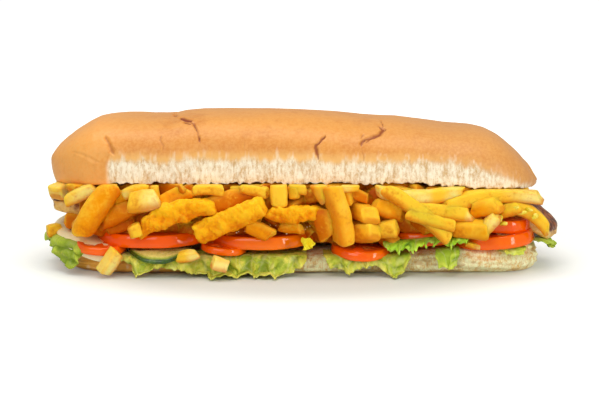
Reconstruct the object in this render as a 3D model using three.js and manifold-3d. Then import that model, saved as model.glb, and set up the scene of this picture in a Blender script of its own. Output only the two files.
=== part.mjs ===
import * as THREE from 'three';
import { mergeVertices } from 'three/addons/utils/BufferGeometryUtils.js';
import Module from 'manifold-3d';

// A long filled roll: a soft white loaf split along its length, with lettuce, cucumber, tomato,
// a soft pale slice, battered strips, two seared fillets and a heap of chips inside.
// Millimetres. +X runs along the loaf, the shown side faces -Y, +Z is up,
// and the origin is the middle of the flat foot of the lower half.

const wasm = await Module();
wasm.setup();
const { degToRad, radToDeg, clamp, smoothstep, lerp } = THREE.MathUtils;

// Driving sizes
const GAP = 0.35;
const LOAF = { left: -155, right: 148, halfWidth: 46, endLength: 45 };
const CROWN = { peakX: -40, peakZ: 96, sag: 0.00046, leftPower: 2, rightPower: 1.7, section: 2.75 };
const CUT = { front: 55, leftDrop: 1.5, rightDrop: 4.5, leftNose: 12, rightNose: 1.5 };
const TEAR = { height: 14, inset: 1.3, left: -117, right: 139 };
const FOOT = { left: -148, right: 147, halfWidth: 44, straight: 105, leftPower: 2.3, rightPower: 3.4 };
const RIM = { height: 11.4, leftRise: 8, rightRise: 4.6 };
const CHIP = { thick: 10.5, long: 34 };
const TOMATO_THICK = 7.4;
const CUCUMBER_THICK = 2.6;
const LEAF_THICK = 1.1;
const LEAF_CLEAR = 0.95;
const SLICE = {
  thick: 2.6, clear: 4.2, endRise: 2.4, from: -190, to: -112, tuck: 24, hang: 5.5, frontHang: 6.5, turn: 6,
};
const FRILL = { left: 1.4, right: 8.4, y: -54.6, bottom: 17.4, top: 25.4 };
const SLIVER = 0.06;
const CRACK_WIDTH = 1.5;
const HEAP = { x: -2, z: 33.5, halfLength: 132, halfWidth: 39, halfHeight: 21.5 };
const HANG = { drop: 0.94, out: 0.22, spread: 0.9, lowest: 1.4 };

const COLOURS = {
  crust: 0xe2a25c, crumb: 0xf2e6cc, leaf: 0x8db844, tomato: 0xe8481c, cucumber: 0xc6d68a,
  slice: 0xf6e3b4, strip: 0xf0a020, fillet: 0xa8501c, chip: 0xf4b83c,
};

// Turns a closed three.js geometry into a solid, without its doubled corners and empty faces.
function solidOf(geometry) {
  const bare = new THREE.BufferGeometry();
  bare.setAttribute('position', geometry.getAttribute('position').clone());
  bare.setIndex(geometry.index);
  const merged = mergeVertices(bare, 1e-4);
  const corners = merged.index.array;
  const kept = [];
  for (let i = 0; i < corners.length; i += 3) {
    const [a, b, c] = [corners[i], corners[i + 1], corners[i + 2]];
    if (a !== b && b !== c && a !== c) kept.push(a, b, c);
  }
  return new wasm.Manifold(new wasm.Mesh({
    numProp: 3,
    vertProperties: new Float32Array(merged.attributes.position.array),
    triVerts: new Uint32Array(kept),
  }));
}

// Moves every corner of a geometry by a function of its place.
function warp(geometry, place) {
  const corners = geometry.getAttribute('position');
  const p = new THREE.Vector3();
  for (let i = 0; i < corners.count; i += 1) {
    p.fromBufferAttribute(corners, i);
    place(p);
    corners.setXYZ(i, p.x, p.y, p.z);
  }
  return geometry;
}

// The largest piece of a solid, with sealed hollows filled and slivers smoothed away.
function mainBody(solid) {
  const bodies = solid.simplify(SLIVER).decompose().filter((body) => body.volume() > 0);
  return bodies.sort((a, b) => b.volume() - a.volume())[0];
}

function meshOf(name, solid, colour, roughness) {
  const made = solid.getMesh();
  const geometry = new THREE.BufferGeometry();
  geometry.setAttribute('position', new THREE.BufferAttribute(made.vertProperties, 3));
  geometry.setIndex(new THREE.BufferAttribute(made.triVerts, 1));
  geometry.computeVertexNormals();
  const material = new THREE.MeshStandardMaterial({ color: colour, roughness, metalness: 0 });
  const mesh = new THREE.Mesh(geometry, material);
  mesh.name = name;
  return mesh;
}

// A repeatable draw between 0 and 1.
function drawsFrom(seed) {
  let state = seed;
  return () => {
    state = (state * 1664525 + 1013904223) % 4294967296;
    return state / 4294967296;
  };
}

// How a rounded end narrows: 1 at its start, 0 at its tip.
const roundOff = (share, power) => (1 - clamp(share, 0, 1) ** power) ** (1 / power);
const signedPower = (value, power) => Math.sign(value) * Math.abs(value) ** power;

// Heights of the upper half's cut and of the lower half's rim, along the loaf.
const cutHeight = (x) => (
  CUT.front - CUT.leftDrop * smoothstep(-x, 110, 157) - CUT.rightDrop * smoothstep(x, 60, 148)
);
const rimHeight = (x) => (
  RIM.height + RIM.leftRise * smoothstep(-x, 105, 148) + RIM.rightRise * smoothstep(x, 50, 105)
);

// A point of the upper half's skin: a round-ended loaf, widest at the height of its nose, cut flat
// below. The angle runs round the loaf, from the back rim at 0 over the crown at 90 degrees.
function topPoint(x, angle, grow = 0) {
  const leftShare = (LOAF.left + LOAF.endLength - x) / LOAF.endLength;
  const rightShare = (x - LOAF.right + LOAF.endLength) / LOAF.endLength;
  const round = roundOff(leftShare, CROWN.leftPower) * roundOff(rightShare, CROWN.rightPower);
  const cut = cutHeight(x);
  const nose = cut + lerp(CUT.leftNose, CUT.rightNose, smoothstep(x, LOAF.left, LOAF.right));
  const crown = CROWN.peakZ - CROWN.sag * (x - CROWN.peakX) ** 2;
  const width = LOAF.halfWidth * roundOff(leftShare, 2.2) * roundOff(rightShare, 2.2);
  const [across, up] = [Math.cos(angle), Math.sin(angle)];
  const side = signedPower(across, up >= 0 ? 2 / CROWN.section : 0.7);
  const rise = up >= 0 ? (crown - nose) * round * up ** (2 / CROWN.section) : 0;
  const fall = up < 0 ? Math.min(nose - cut, 1.5 * (nose - cut) * round * (-up) ** 0.8) : 0;
  const height = nose + rise - fall;
  const fromLeft = smoothstep(x, TEAR.left - 4, TEAR.left + 4);
  const fromRight = smoothstep(-x, -TEAR.right - 4, 4 - TEAR.right);
  const torn = fromLeft * fromRight * (1 - smoothstep(height - cut, TEAR.height - 2, TEAR.height + 2));
  const y = (width + grow - TEAR.inset * torn * Math.abs(side)) * side;
  return new THREE.Vector3(x, y, height + grow * clamp(4 * up, -1, 1));
}

function topHalf(grow = 0) {
  const middle = (LOAF.left + LOAF.right) / 2;
  const half = (LOAF.right - LOAF.left) / 2;
  const geometry = new THREE.SphereGeometry(1, 24, 34).rotateZ(-Math.PI / 2);
  const loaf = solidOf(warp(geometry, (p) => {
    const end = grow * p.x;
    p.copy(topPoint(middle + half * p.x, Math.atan2(p.z, p.y), grow));
    p.x += end;
  }));
  return grow > 0 ? loaf : CRACKS.reduce((solid, crack) => solid.subtract(groove(crack)), loaf);
}

// Cracks in the crust, each through points at x and degrees up from the front rim.
const CRACKS = [
  [[-74, 68], [-66, 55], [-63.5, 47], [-61.5, 36], [-60, 23]],
  [[15, 36], [12, 28], [10.5, 18], [9.5, 9]],
  [[46.5, 61], [46, 43], [37.5, 30], [36, 17]],
];

// The groove of one crack: square rods laid on edge along the skin, joined in a row.
function groove(crack) {
  const points = crack.map(([x, lift]) => topPoint(x, Math.PI - degToRad(lift)));
  const rods = points.slice(1).map((point, k) => {
    const span = point.clone().sub(points[k]);
    const geometry = new THREE.BoxGeometry(CRACK_WIDTH, CRACK_WIDTH, span.length() + CRACK_WIDTH / 2);
    geometry.rotateZ(Math.PI / 4);
    geometry.applyQuaternion(new THREE.Quaternion().setFromUnitVectors(
      new THREE.Vector3(0, 0, 1), span.clone().normalize(),
    ));
    geometry.translate(...points[k].clone().addScaledVector(span, 0.5).toArray());
    return solidOf(geometry);
  });
  return rods.reduce((sum, rod) => sum.add(rod));
}

// The lower half: a shallow boat with a flat foot and a flat top.
function bottomHalf(grow = 0) {
  const middle = (FOOT.left + FOOT.right) / 2;
  const half = (FOOT.right - FOOT.left) / 2;
  const geometry = new THREE.SphereGeometry(1, 20, 28).rotateZ(-Math.PI / 2);
  return solidOf(warp(geometry, (p) => {
    const x = middle + half * p.x;
    const share = (Math.abs(x - middle) - FOOT.straight) / (half - FOOT.straight);
    const power = x > middle ? FOOT.rightPower : FOOT.leftPower;
    const width = FOOT.halfWidth * roundOff(share, power);
    const rim = rimHeight(x);
    const angle = Math.atan2(p.z, p.y);
    const [across, up] = [Math.cos(angle), Math.sin(angle)];
    const tall = clamp(rim * (0.5 + 0.62 * roundOff(share, 1.5 * power) * signedPower(up, 0.6)), 0, rim);
    p.x = x + grow * p.x;
    p.y = (width + grow) * signedPower(across, 0.5);
    p.z = tall + grow * clamp(4 * up, -1, 1);
  }));
}

// A point at a distance round the lower half's outline, counted from the middle of the front,
// moved outwards by a distance. The ends are superellipses.
function roundRim(along, out) {
  const side = Math.sign(along) || 1;
  const radius = FOOT.halfWidth;
  const past = Math.abs(along) - FOOT.straight;
  const turn = clamp(past / radius, 0, Math.PI);
  const back = Math.max(0, past - Math.PI * radius);
  const power = along < 0 ? FOOT.leftPower : FOOT.rightPower;
  const swell = (Math.sin(turn) ** power + Math.abs(Math.cos(turn)) ** power) ** (-1 / power);
  const reach = radius * swell + out;
  const x = side * (Math.min(Math.abs(along), FOOT.straight) + reach * Math.sin(turn) - back);
  return new THREE.Vector2(x, -reach * Math.cos(turn));
}

// How a leaf lies: flat on the filling, over the rim in a quarter round, down, then out along the table.
function drape(q, top, turn) {
  const bend = clamp(q / turn, 0, Math.PI / 2);
  const fall = Math.max(0, q - turn * Math.PI / 2);
  const height = top - turn * (1 - Math.cos(bend)) - HANG.drop * fall;
  const spread = HANG.spread * Math.max(0, HANG.lowest - height);
  const out = Math.min(q, 0) + turn * Math.sin(bend) + HANG.out * fall + spread;
  return { out, z: Math.max(height, HANG.lowest) };
}

// A thin wavy sheet as a closed solid, both faces split alike. The middle surface is a function
// of two shares, and each face lies half the thickness to its side.
function sheet(columns, rows, middleOf, thick) {
  const plane = new THREE.PlaneGeometry(1, 1, columns, rows);
  const shares = plane.getAttribute('position');
  const step = 1e-3;
  const points = [];
  for (const side of [1, -1]) {
    for (let i = 0; i < shares.count; i += 1) {
      const [u, v] = [shares.getX(i) + 0.5, shares.getY(i) + 0.5];
      const along = middleOf(Math.min(u + step, 1), v).sub(middleOf(Math.max(u - step, 0), v));
      const across = middleOf(u, Math.min(v + step, 1)).sub(middleOf(u, Math.max(v - step, 0)));
      const normal = along.cross(across).normalize();
      points.push(...middleOf(u, v).addScaledVector(normal, side * thick / 2).toArray());
    }
  }
  const upper = Array.from(plane.index.array);
  const lower = [];
  for (let i = 0; i < upper.length; i += 3) {
    lower.push(upper[i] + shares.count, upper[i + 2] + shares.count, upper[i + 1] + shares.count);
  }
  const border = [];
  for (let i = 0; i < columns; i += 1) border.push(i);
  for (let j = 0; j < rows; j += 1) border.push(columns + j * (columns + 1));
  for (let i = columns; i > 0; i -= 1) border.push(rows * (columns + 1) + i);
  for (let j = rows; j > 0; j -= 1) border.push(j * (columns + 1));
  const wall = border.flatMap((a, k) => {
    const b = border[(k + 1) % border.length];
    return [a, b, a + shares.count, b, b + shares.count, a + shares.count];
  });
  const geometry = new THREE.BufferGeometry();
  geometry.setAttribute('position', new THREE.BufferAttribute(new Float32Array(points), 3));
  geometry.setIndex([...upper, ...lower, ...wall]);
  const solid = solidOf(geometry);
  return solid.volume() > 0 ? solid : solidOf(geometry.setIndex(flipped(geometry.index.array)));
}

function flipped(corners) {
  const turned = Array.from(corners);
  for (let i = 0; i < turned.length; i += 3) {
    [turned[i + 1], turned[i + 2]] = [turned[i + 2], turned[i + 1]];
  }
  return turned;
}

// Leaves, by the stretch of rim that each covers. top is the height of the tucked part above the
// rim, hang how far the leaf comes out past the rim, and each lobe hangs further.
const LEAVES = [
  { name: 'lettuce_front_left', from: -107, to: 4, hang: 10.5, ripple: 4.2, wave: 15, columns: 26,
    lobes: [[-98, 6, 9], [-76, 8, 1], [-47, 13, 13], [-18, 17, 10]] },
  { name: 'lettuce_front_middle', from: 14, to: 66, hang: 8.5, ripple: 3.4, wave: 12, columns: 14,
    lobes: [[29, 9, 5], [57, 8, 12]] },
  { name: 'lettuce_curl', from: 50, to: 104, top: 8, tuck: 8, hang: 7, ripple: 4.4, wave: 8, columns: 20,
    lobes: [[62, 9, 3], [92, 8, 2]] },
  { name: 'lettuce_hanging', from: 82, to: 96, tuck: 4, hang: 14, ripple: 2.4, wave: 11, columns: 5,
    lobes: [] },
  { name: 'lettuce_right', from: 120, to: 134, tuck: 8, hang: 5, ripple: 2, wave: 9, columns: 5,
    lobes: [[126, 4, 3]] },
  { name: 'lettuce_right_end', from: 142, to: 180, top: 2.2, hang: 7, ripple: 3.2, wave: 8, columns: 10,
    lobes: [[160, 6, 3]] },
  { name: 'lettuce_left_end', from: -192, to: -124, top: 2.4, tuck: 10, turn: 6, hang: 12, ripple: 3.4,
    wave: 19, columns: 16, lobes: [[-134, 9, 10], [-176, 8, 2]] },
  { name: 'lettuce_back_left', from: 350, to: 440, hang: 8, ripple: 4.2, wave: 18, columns: 20,
    lobes: [[366, 12, 8], [422, 10, 9]] },
  { name: 'lettuce_back_right', from: -446, to: -362, hang: 7, ripple: 4.2, wave: 16, columns: 18,
    lobes: [[-392, 11, 9], [-430, 9, 7]] },
];

function leaf(spec, grow = 0) {
  const { from, to, top = 0, tuck = 14, turn = 5, hang, ripple, wave, columns, lobes } = spec;
  return sheet(columns, 5, (u, v) => {
    const along = lerp(from - grow, to + grow, u);
    const bulges = lobes.map(([at, wide, more]) => more * Math.exp(-(((along - at) / wide) ** 2)));
    const lobe = bulges.reduce((sum, more) => sum + more, 0);
    const endShape = Math.min(1, 5 * Math.min(u, 1 - u) + 0.45);
    const q = lerp(-tuck - grow, (hang + lobe) * endShape + grow, v);
    const root = rimHeight(roundRim(along, 0).x) + LEAF_CLEAR + top;
    const lie = drape(q, root, turn);
    const out = smoothstep(q, 0, 9);
    const fold = ripple * out * (0.5 + 0.5 * Math.sin(2 * Math.PI * along / wave));
    const at = roundRim(along, lie.out + fold);
    const lift = 0.45 * ripple * out * (0.5 + 0.5 * Math.cos(2 * Math.PI * along / wave + 1));
    return new THREE.Vector3(at.x, at.y, lie.z + lift);
  }, LEAF_THICK + 2 * grow);
}

// A small upright frill of pale leaf in front of the tomato.
function frill(grow = 0) {
  return sheet(5, 4, (u, v) => new THREE.Vector3(
    lerp(FRILL.left, FRILL.right, u),
    FRILL.y - LEAF_THICK * Math.sin(2 * Math.PI * u),
    lerp(FRILL.bottom, FRILL.top - 1.6 * Math.abs(u - 0.5), v),
  ), LEAF_THICK + 2 * grow);
}

// The pale slice at the left end: it lies on the lettuce and drapes from the end down to the front.
function paleSlice(grow = 0) {
  return sheet(12, 4, (u, v) => {
    const along = lerp(SLICE.from - grow, SLICE.to + grow, u);
    const rim = rimHeight(roundRim(along, 0).x);
    const root = rim + SLICE.clear + SLICE.endRise * smoothstep(-along, 140, 185);
    const hang = SLICE.hang + SLICE.frontHang * smoothstep(along, -155, -128);
    const q = lerp(-SLICE.tuck - grow, hang + grow, v);
    const lie = drape(q, root, SLICE.turn);
    const at = roundRim(along, lie.out);
    return new THREE.Vector3(at.x, at.y, lie.z);
  }, SLICE.thick + 2 * grow);
}

// Round slices. Each lies with its skin at reach, at height z, its outer edge tipped down by tip
// degrees and rolled by roll degrees; keep is how far it runs past its centre before its straight cut,
// and slim its share of the usual thickness.
const TOMATOES = [
  { name: 'tomato_1', x: -91, reach: -51, radius: 39, z: 20.8, tip: 2, roll: 0, keep: 9 },
  { name: 'tomato_2', x: -121, reach: -53, radius: 16, z: 15.4, tip: 6, roll: -4, keep: 3, slim: 0.68 },
  { name: 'tomato_3', x: -25, reach: -51, radius: 37, z: 19.6, tip: 3, roll: 0, keep: 6 },
  { name: 'tomato_4', x: -46.5, reach: -54, radius: 14, z: 15.4, tip: 3, roll: -6, keep: 2, slim: 0.57 },
  { name: 'tomato_5', x: 37, reach: -54.5, radius: 18.5, z: 14.2, tip: 0, roll: -2, keep: 5, droop: 3,
    slim: 0.7 },
  { name: 'tomato_6', x: 76, reach: -45, radius: 28, z: 21, tip: 2, roll: 2, keep: 12 },
  { name: 'tomato_7', x: 118.5, reach: -51, radius: 26, z: 20, tip: 2, roll: 4, keep: 12 },
  { name: 'tomato_8', x: 122, reach: -44, radius: 21, z: 28.4, tip: 8, roll: -3, keep: 12 },
  { name: 'tomato_9', x: -82, reach: 51, radius: 38, z: 21.6, tip: 3, roll: 2, keep: 7 },
  { name: 'tomato_10', x: -4, reach: 50, radius: 36, z: 20.8, tip: 3, roll: -2, keep: 8 },
  { name: 'tomato_11', x: 78, reach: 51, radius: 37, z: 21.6, tip: 3, roll: 2, keep: 8 },
];
const CUCUMBERS = [
  { name: 'cucumber_1', x: -85, reach: -57, radius: 19.5, z: 14.2, tip: 0, roll: 0, keep: 6, droop: 4 },
  { name: 'cucumber_2', x: 38, reach: 56, radius: 20, z: 15, tip: 0, roll: 0, keep: 6, droop: 4 },
];

function roundSlice(spec, thick, grow = 0) {
  const { x, reach, radius, z, tip, roll, keep, droop = 0, slim = 1 } = spec;
  const side = Math.sign(reach);
  const geometry = new THREE.CylinderGeometry(1, 1, 1, 24, 1).rotateX(Math.PI / 2);
  warp(geometry, (p) => {
    const edge = Math.hypot(p.x, p.y);
    const wave = 1 + 0.012 * Math.sin(5 * Math.atan2(p.y, p.x));
    const size = edge > 0.5 ? (radius * wave + grow) / edge : 1;
    p.set(p.x * size, Math.min(p.y * size, keep + grow), p.z * (thick * slim + 2 * grow));
  });
  const place = new THREE.Matrix4().makeTranslation(x, reach, z)
    .multiply(new THREE.Matrix4().makeRotationZ(side > 0 ? Math.PI : 0))
    .multiply(new THREE.Matrix4().makeRotationY(degToRad(side > 0 ? roll : -roll)))
    .multiply(new THREE.Matrix4().makeRotationX(degToRad(tip)))
    .multiply(new THREE.Matrix4().makeTranslation(0, radius, 0));
  geometry.applyMatrix4(place);
  const rim = FOOT.halfWidth;
  return solidOf(warp(geometry, (p) => {
    p.z -= droop * (Math.max(0, side * p.y - rim) / 12) ** 2;
  }));
}

// A bar of food: its middle, length and thickness, the rise of its right end in degrees as seen
// from the front, the swing of that end away from the viewer, a roll about itself and a bend.
function bar(spec, grow = 0) {
  const { at, long, thick, wide = thick, rise = 0, swing = 0, roll = 0 } = spec;
  const { bend = 0, taper = 0.14, steps = 2 } = spec;
  const geometry = new THREE.BoxGeometry(1, 1, 1, steps, 1, 1);
  warp(geometry, (p) => {
    const share = 2 * p.x;
    const narrow = 1 - taper * share ** 2;
    p.set(p.x * long + grow * share, p.y * (wide * narrow + 2 * grow), p.z * (thick * narrow + 2 * grow));
    p.z += bend * (0.5 - share ** 2);
  });
  const turn = new THREE.Matrix4().makeRotationZ(degToRad(swing))
    .multiply(new THREE.Matrix4().makeRotationY(degToRad(-rise)))
    .multiply(new THREE.Matrix4().makeRotationX(degToRad(roll)));
  geometry.applyMatrix4(turn);
  geometry.translate(...at);
  return solidOf(geometry);
}

// Bars that are pieces of their own: middle, length, thickness, width and turns, as bar takes them.
const STRIPS = [
  { name: 'battered_strip_1', at: [-73.6, -53, 38], long: 46, thick: 13.2, wide: 10, rise: 18, bend: 3.5,
    steps: 5, taper: 0.3 },
  { name: 'battered_strip_2', at: [-42, -54, 35], long: 45, thick: 13.4, wide: 11, rise: 24, swing: -6,
    steps: 5, taper: 0.08 },
  { name: 'battered_strip_3', at: [-3.5, -52, 39], long: 34, thick: 10.5, wide: 9, rise: 3, bend: -1.5,
    steps: 4, taper: 0.5 },
];
const FILLETS = [
  { name: 'seared_fillet_right', at: [138, -16, 34], long: 46, thick: 11, wide: 34, rise: -30, roll: 14,
    bend: 2, steps: 4, taper: 0.3 },
  { name: 'seared_fillet_left', at: [-133, -14, 37], long: 42, thick: 11, wide: 36, rise: -14, bend: 2,
    steps: 4, taper: 0.3 },
];
const LOOSE_CHIPS = [
  { name: 'loose_chip_1', at: [-113.5, -54, 9.8], long: 15.5, thick: 8.5, wide: 8, rise: 56, roll: 40,
    taper: 0.05 },
  { name: 'loose_chip_2', at: [-67, -56.5, 14], long: 12.5, thick: 6.5, rise: 10, roll: 20, taper: 0.3 },
  { name: 'loose_chip_3', at: [-47.5, -62, 9.8], long: 9.5, thick: 8, rise: -20, swing: 14, taper: 0.02 },
  { name: 'loose_chip_4', at: [-152, -22, 23.4], long: 8.5, thick: 7.5, rise: 8, swing: 30, taper: 0.05 },
  { name: 'loose_chip_5', at: [104, -47, 18.4], long: 9, thick: 3.5, wide: 7, rise: -14, taper: 0.2 },
];

// The chips that show at the front, from left to right: x and z of both ends, y of the middle, how far
// the second end lies behind the first, the thickness, and how far the middle bends up.
const FRONT_CHIPS = [
  [-149, 48, -141, 50, -26, 14, 11, 0], [-141, 44.5, -123, 53.5, -43, -3, 8, 0],
  [-130.5, 27.5, -112, 54.5, -47, 3, 14.5, 1.5], [-121, 32, -97, 43, -42, 0, 12.5, 0],
  [-105, 49.5, -91, 54.5, -47, 0, 7.5, 0], [-112, 46.5, -103, 49.5, -45, 0, 6.5, 0],
  [-101, 45, -85, 47, -51, 0, 13.5, 0], [-87, 56, -86, 40, -49, 0, 5.5, 0],
  [-84, 42, -66, 52, -47, 0, 11, 0], [-63, 53.5, -46, 53, -49, 0, 8, 1.5],
  [-57, 41, -23, 52, -45, 0, 11.5, 0], [-35, 54.5, -19, 50.5, -50, 0, 7.5, 0],
  [-12.8, 57, -12.5, 42.5, -49, -2, 10.5, 0], [-7, 54, 4, 53, -48, 0, 7, 0],
  [-4, 55, -3.5, 47, -49, 0, 6.5, 0], [18.5, 56, 27, 21.5, -53, 0, 12, 1],
  [12.5, 42, 17.5, 24, -49, 0, 12, 0], [10, 57, 16, 46, -50, 0, 9.5, 0],
  [24.5, 54.5, 35, 54.5, -50, 0, 6, 0],
  [26.5, 52, 28.5, 43, -47, 0, 7.5, 0], [29, 51, 41, 46, -44, 0, 7, 0],
  [32, 39.5, 42, 37.5, -44, -20, 10.5, 0], [33, 24.5, 45, 28, -49, -14, 11, 0],
  [46, 28, 58, 30, -50, -8, 10, 0], [44, 42.5, 62, 37, -46, 0, 10.5, 0],
  [52, 53, 88, 25.5, -52, -4, 9.5, 2], [64, 39, 91, 31, -54, 0, 8.5, 0],
  [46, 50, 98, 50.5, -48, 0, 8.5, -4], [84, 43.5, 145, 49, -45, 12, 9.5, 5],
  [68, 41.5, 103, 37.5, -51, 0, 9, 0], [101, 40.5, 119, 44, -49, -4, 11, 0],
  [93, 30, 112, 29, -52, -6, 11, 0], [108, 27.5, 117.5, 38, -54, 0, 8, 0],
  [122, 43.5, 151, 28, -41, 6, 8.5, 5], [120, 38, 132, 41, -45, 0, 8, 0],
  [-99.5, 32.5, -96.5, 25, -54, 0, 8.5, 0], [-33, 32.5, -17, 25, -51, 0, 9.5, 0],
  [-12, 29.5, 1.5, 29, -47, -6, 6.5, 0],
];

function chipsAtTheFront() {
  return FRONT_CHIPS.map(([x0, z0, x1, z1, y, behind, thick, bend]) => {
    const level = Math.hypot(x1 - x0, behind);
    return {
      at: [(x0 + x1) / 2, y, (z0 + z1) / 2],
      long: Math.hypot(level, z1 - z0),
      thick,
      rise: radToDeg(Math.atan2(z1 - z0, level)),
      swing: radToDeg(Math.atan2(behind, x1 - x0)),
      bend,
      taper: 0.08,
      steps: bend ? 2 : 1,
    };
  });
}

// Chips on the sides that the viewer doesn't see, laid by a rule with a fixed seed: two rows
// along the back and a few at each end.
function chipsByRule() {
  const draw = drawsFrom(7);
  const chips = [];
  const rows = [30, 40.5, 50];
  rows.forEach((z, row) => {
    for (let x = -122 + 7 * row; x <= 126; x += 27) {
      const outwards = draw() < 0.28;
      chips.push({
        at: [
          x + 6 * (draw() - 0.5),
          (outwards ? 33 : 41) + 4 * draw(),
          Math.min(z + 3 * (draw() - 0.5), cutHeight(x) - 5),
        ],
        long: CHIP.long * (0.8 + 0.5 * draw()),
        thick: CHIP.thick * (0.85 + 0.35 * draw()),
        rise: 56 * (draw() - 0.5) * (row === 2 ? 0.4 : 1),
        swing: outwards ? 72 : 36 * (draw() - 0.5),
        steps: 1,
      });
    }
  });
  for (const end of [-1, 1]) {
    for (let k = 0; k < 3; k += 1) {
      chips.push({
        at: [end < 0 ? -139 + 3 * k : 131 - 2 * k, 1 + 13 * k, 47 - 5 * (k % 2)],
        long: 24 + 6 * draw(),
        thick: CHIP.thick * (0.85 + 0.3 * draw()),
        rise: 24 * (draw() - 0.5),
        swing: -end * (20 + 30 * draw()),
        steps: 1,
      });
    }
  }
  return chips;
}

// What the chips are fused to: a block with rounded sides that fills the middle of the roll.
function heapCore() {
  const geometry = new THREE.SphereGeometry(1, 16, 12).rotateZ(-Math.PI / 2);
  return solidOf(warp(geometry, (p) => {
    const [dx, dy, dz] = [signedPower(p.x, 0.5), signedPower(p.y, 0.45), signedPower(p.z, 0.45)];
    p.set(HEAP.x + HEAP.halfLength * dx, HEAP.halfWidth * dy, HEAP.z + HEAP.halfHeight * dz);
  }));
}

// Each piece gives way to the ones made before it: it is cut by them, grown by the gap.
const pieces = [];
const grownBefore = [];
function add(name, make, colour, roughness) {
  const cut = grownBefore.reduce((solid, other) => solid.subtract(other), make(0));
  grownBefore.push(make(GAP));
  pieces.push(meshOf(name, mainBody(cut), colour, roughness));
}

function addAll(specs, make, colour, roughness) {
  for (const spec of specs) add(spec.name, (grow) => make(spec, grow), colour, roughness);
}

add('bottom_half', bottomHalf, COLOURS.crumb, 0.8);
add('top_half', topHalf, COLOURS.crust, 0.6);
addAll(LEAVES, leaf, COLOURS.leaf, 0.5);
add('pale_slice', paleSlice, COLOURS.slice, 0.5);
add('lettuce_frill', frill, COLOURS.leaf, 0.5);
addAll(TOMATOES, (spec, grow) => roundSlice(spec, TOMATO_THICK, grow), COLOURS.tomato, 0.3);
addAll(CUCUMBERS, (spec, grow) => roundSlice(spec, CUCUMBER_THICK, grow), COLOURS.cucumber, 0.4);
addAll(FILLETS, bar, COLOURS.fillet, 0.7);
addAll(STRIPS, bar, COLOURS.strip, 0.7);
addAll(LOOSE_CHIPS, bar, COLOURS.chip, 0.6);

// The heap comes last, as one solid.
const chips = [...chipsAtTheFront(), ...chipsByRule()];
add('chips', () => chips.reduce((sum, spec) => sum.add(bar(spec)), heapCore()), COLOURS.chip, 0.6);

const sandwich = new THREE.Group();
sandwich.add(...pieces);

export default sandwich;
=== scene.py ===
"""A long filled roll in its finished state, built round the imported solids.

A soft white loaf is split along its length and filled with lettuce, cucumber, tomato, a soft pale
slice, battered strips, two seared fillets and a heap of chips. Shapes are worked out in millimetres
and put into the meshes in metres. +X runs along the loaf and the shown side faces -Y.
"""

import math

import bpy
import numpy as np
from bpy.props import FloatProperty, FloatVectorProperty, IntProperty, PointerProperty
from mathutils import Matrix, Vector


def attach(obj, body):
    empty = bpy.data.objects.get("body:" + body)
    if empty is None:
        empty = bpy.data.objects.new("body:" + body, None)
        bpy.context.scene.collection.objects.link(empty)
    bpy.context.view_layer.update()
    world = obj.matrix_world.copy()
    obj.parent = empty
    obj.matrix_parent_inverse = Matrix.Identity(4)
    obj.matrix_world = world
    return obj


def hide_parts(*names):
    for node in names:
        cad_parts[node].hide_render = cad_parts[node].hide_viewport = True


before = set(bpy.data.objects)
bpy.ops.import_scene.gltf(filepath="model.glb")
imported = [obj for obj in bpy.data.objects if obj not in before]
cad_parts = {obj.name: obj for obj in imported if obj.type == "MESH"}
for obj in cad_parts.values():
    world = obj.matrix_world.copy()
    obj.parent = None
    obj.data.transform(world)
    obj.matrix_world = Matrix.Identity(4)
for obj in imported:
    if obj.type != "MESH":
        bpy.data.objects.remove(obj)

bl_info = {
    "name": "Long filled roll",
    "version": (1, 0, 0),
    "blender": (4, 5, 0),
    "location": "View3D > Sidebar > Filled roll",
    "description": "Makes a long roll with lettuce, tomato, battered strips and chips, piece by piece",
    "category": "Add Mesh",
}

MM = 0.001

# The loaf's driving sizes, in millimetres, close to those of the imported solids.
LOAF = {"left": -155, "right": 148, "end": 45, "half_width": 46, "end_power": 2.2}
CROWN = {"peak_x": -40, "peak_z": 96, "sag": 0.00046, "left_power": 2, "right_power": 1.7, "section": 2.75,
         "over_nose": 36, "core": 14}
CUT = {"front": 55, "left_drop": 1.5, "right_drop": 4.5, "left_nose": 12, "right_nose": 1.5}
TEAR = {"left": -115, "right": 139}
FOOT = {"left": -148, "right": 147, "half_width": 44, "straight": 105, "left_power": 2.3, "right_power": 3.4}
RIM = {"height": 11.4, "left_rise": 8, "right_rise": 4.6}
HANG = {"drop": 0.94, "out": 0.22, "spread": 0.9, "lowest": 1.4}

# How finely the two halves are divided, and where the random draws of each kind of piece start. Pieces of one
# kind start a step apart.
TOP_STEPS = {"along": 490, "over": 138, "wall": 14, "under": 9}
BASE_STEPS = {"half": 262, "around": 180}
SEEDS = {"crumb_places": 29, "between": 19, "fillets": 101, "strips": 121, "heap": 141, "cubes": 161,
         "crumbs": 171, "relish": 181}
SEED_STEP = 7


# Numbers and noise

def lerp(start, end, share):
    return start + (end - start) * share


def smoothstep(value, low, high):
    """0 below low, 1 above high, and a smooth S between."""
    share = np.clip((value - low) / (high - low), 0, 1)
    return share * share * (3 - 2 * share)


def round_off(share, power):
    """How a rounded end narrows: 1 at its start, 0 at its tip."""
    return (1 - np.clip(share, 0, 1) ** power) ** (1 / power)


def signed_power(value, power):
    return np.sign(value) * np.abs(value) ** power


def bump_at(value, centre, width):
    """A bell that is 1 at its centre."""
    return np.exp(-((value - centre) / width) ** 2)


def corner_values(cell, seed):
    """A repeatable value from -1 to 1 for each corner of a lattice: its whole numbers times large odd
    factors, mixed bit by bit."""
    mixed = (cell[..., 0] * 73856093) ^ (cell[..., 1] * 19349663) ^ (cell[..., 2] * 83492791)
    mixed = (mixed ^ (seed * 2654435761)) & 0xFFFFFFFF
    mixed = ((mixed ^ (mixed >> 13)) * 1274126177) & 0xFFFFFFFF
    return ((mixed ^ (mixed >> 16)) & 0xFFFF) / 32767.5 - 1


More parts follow.
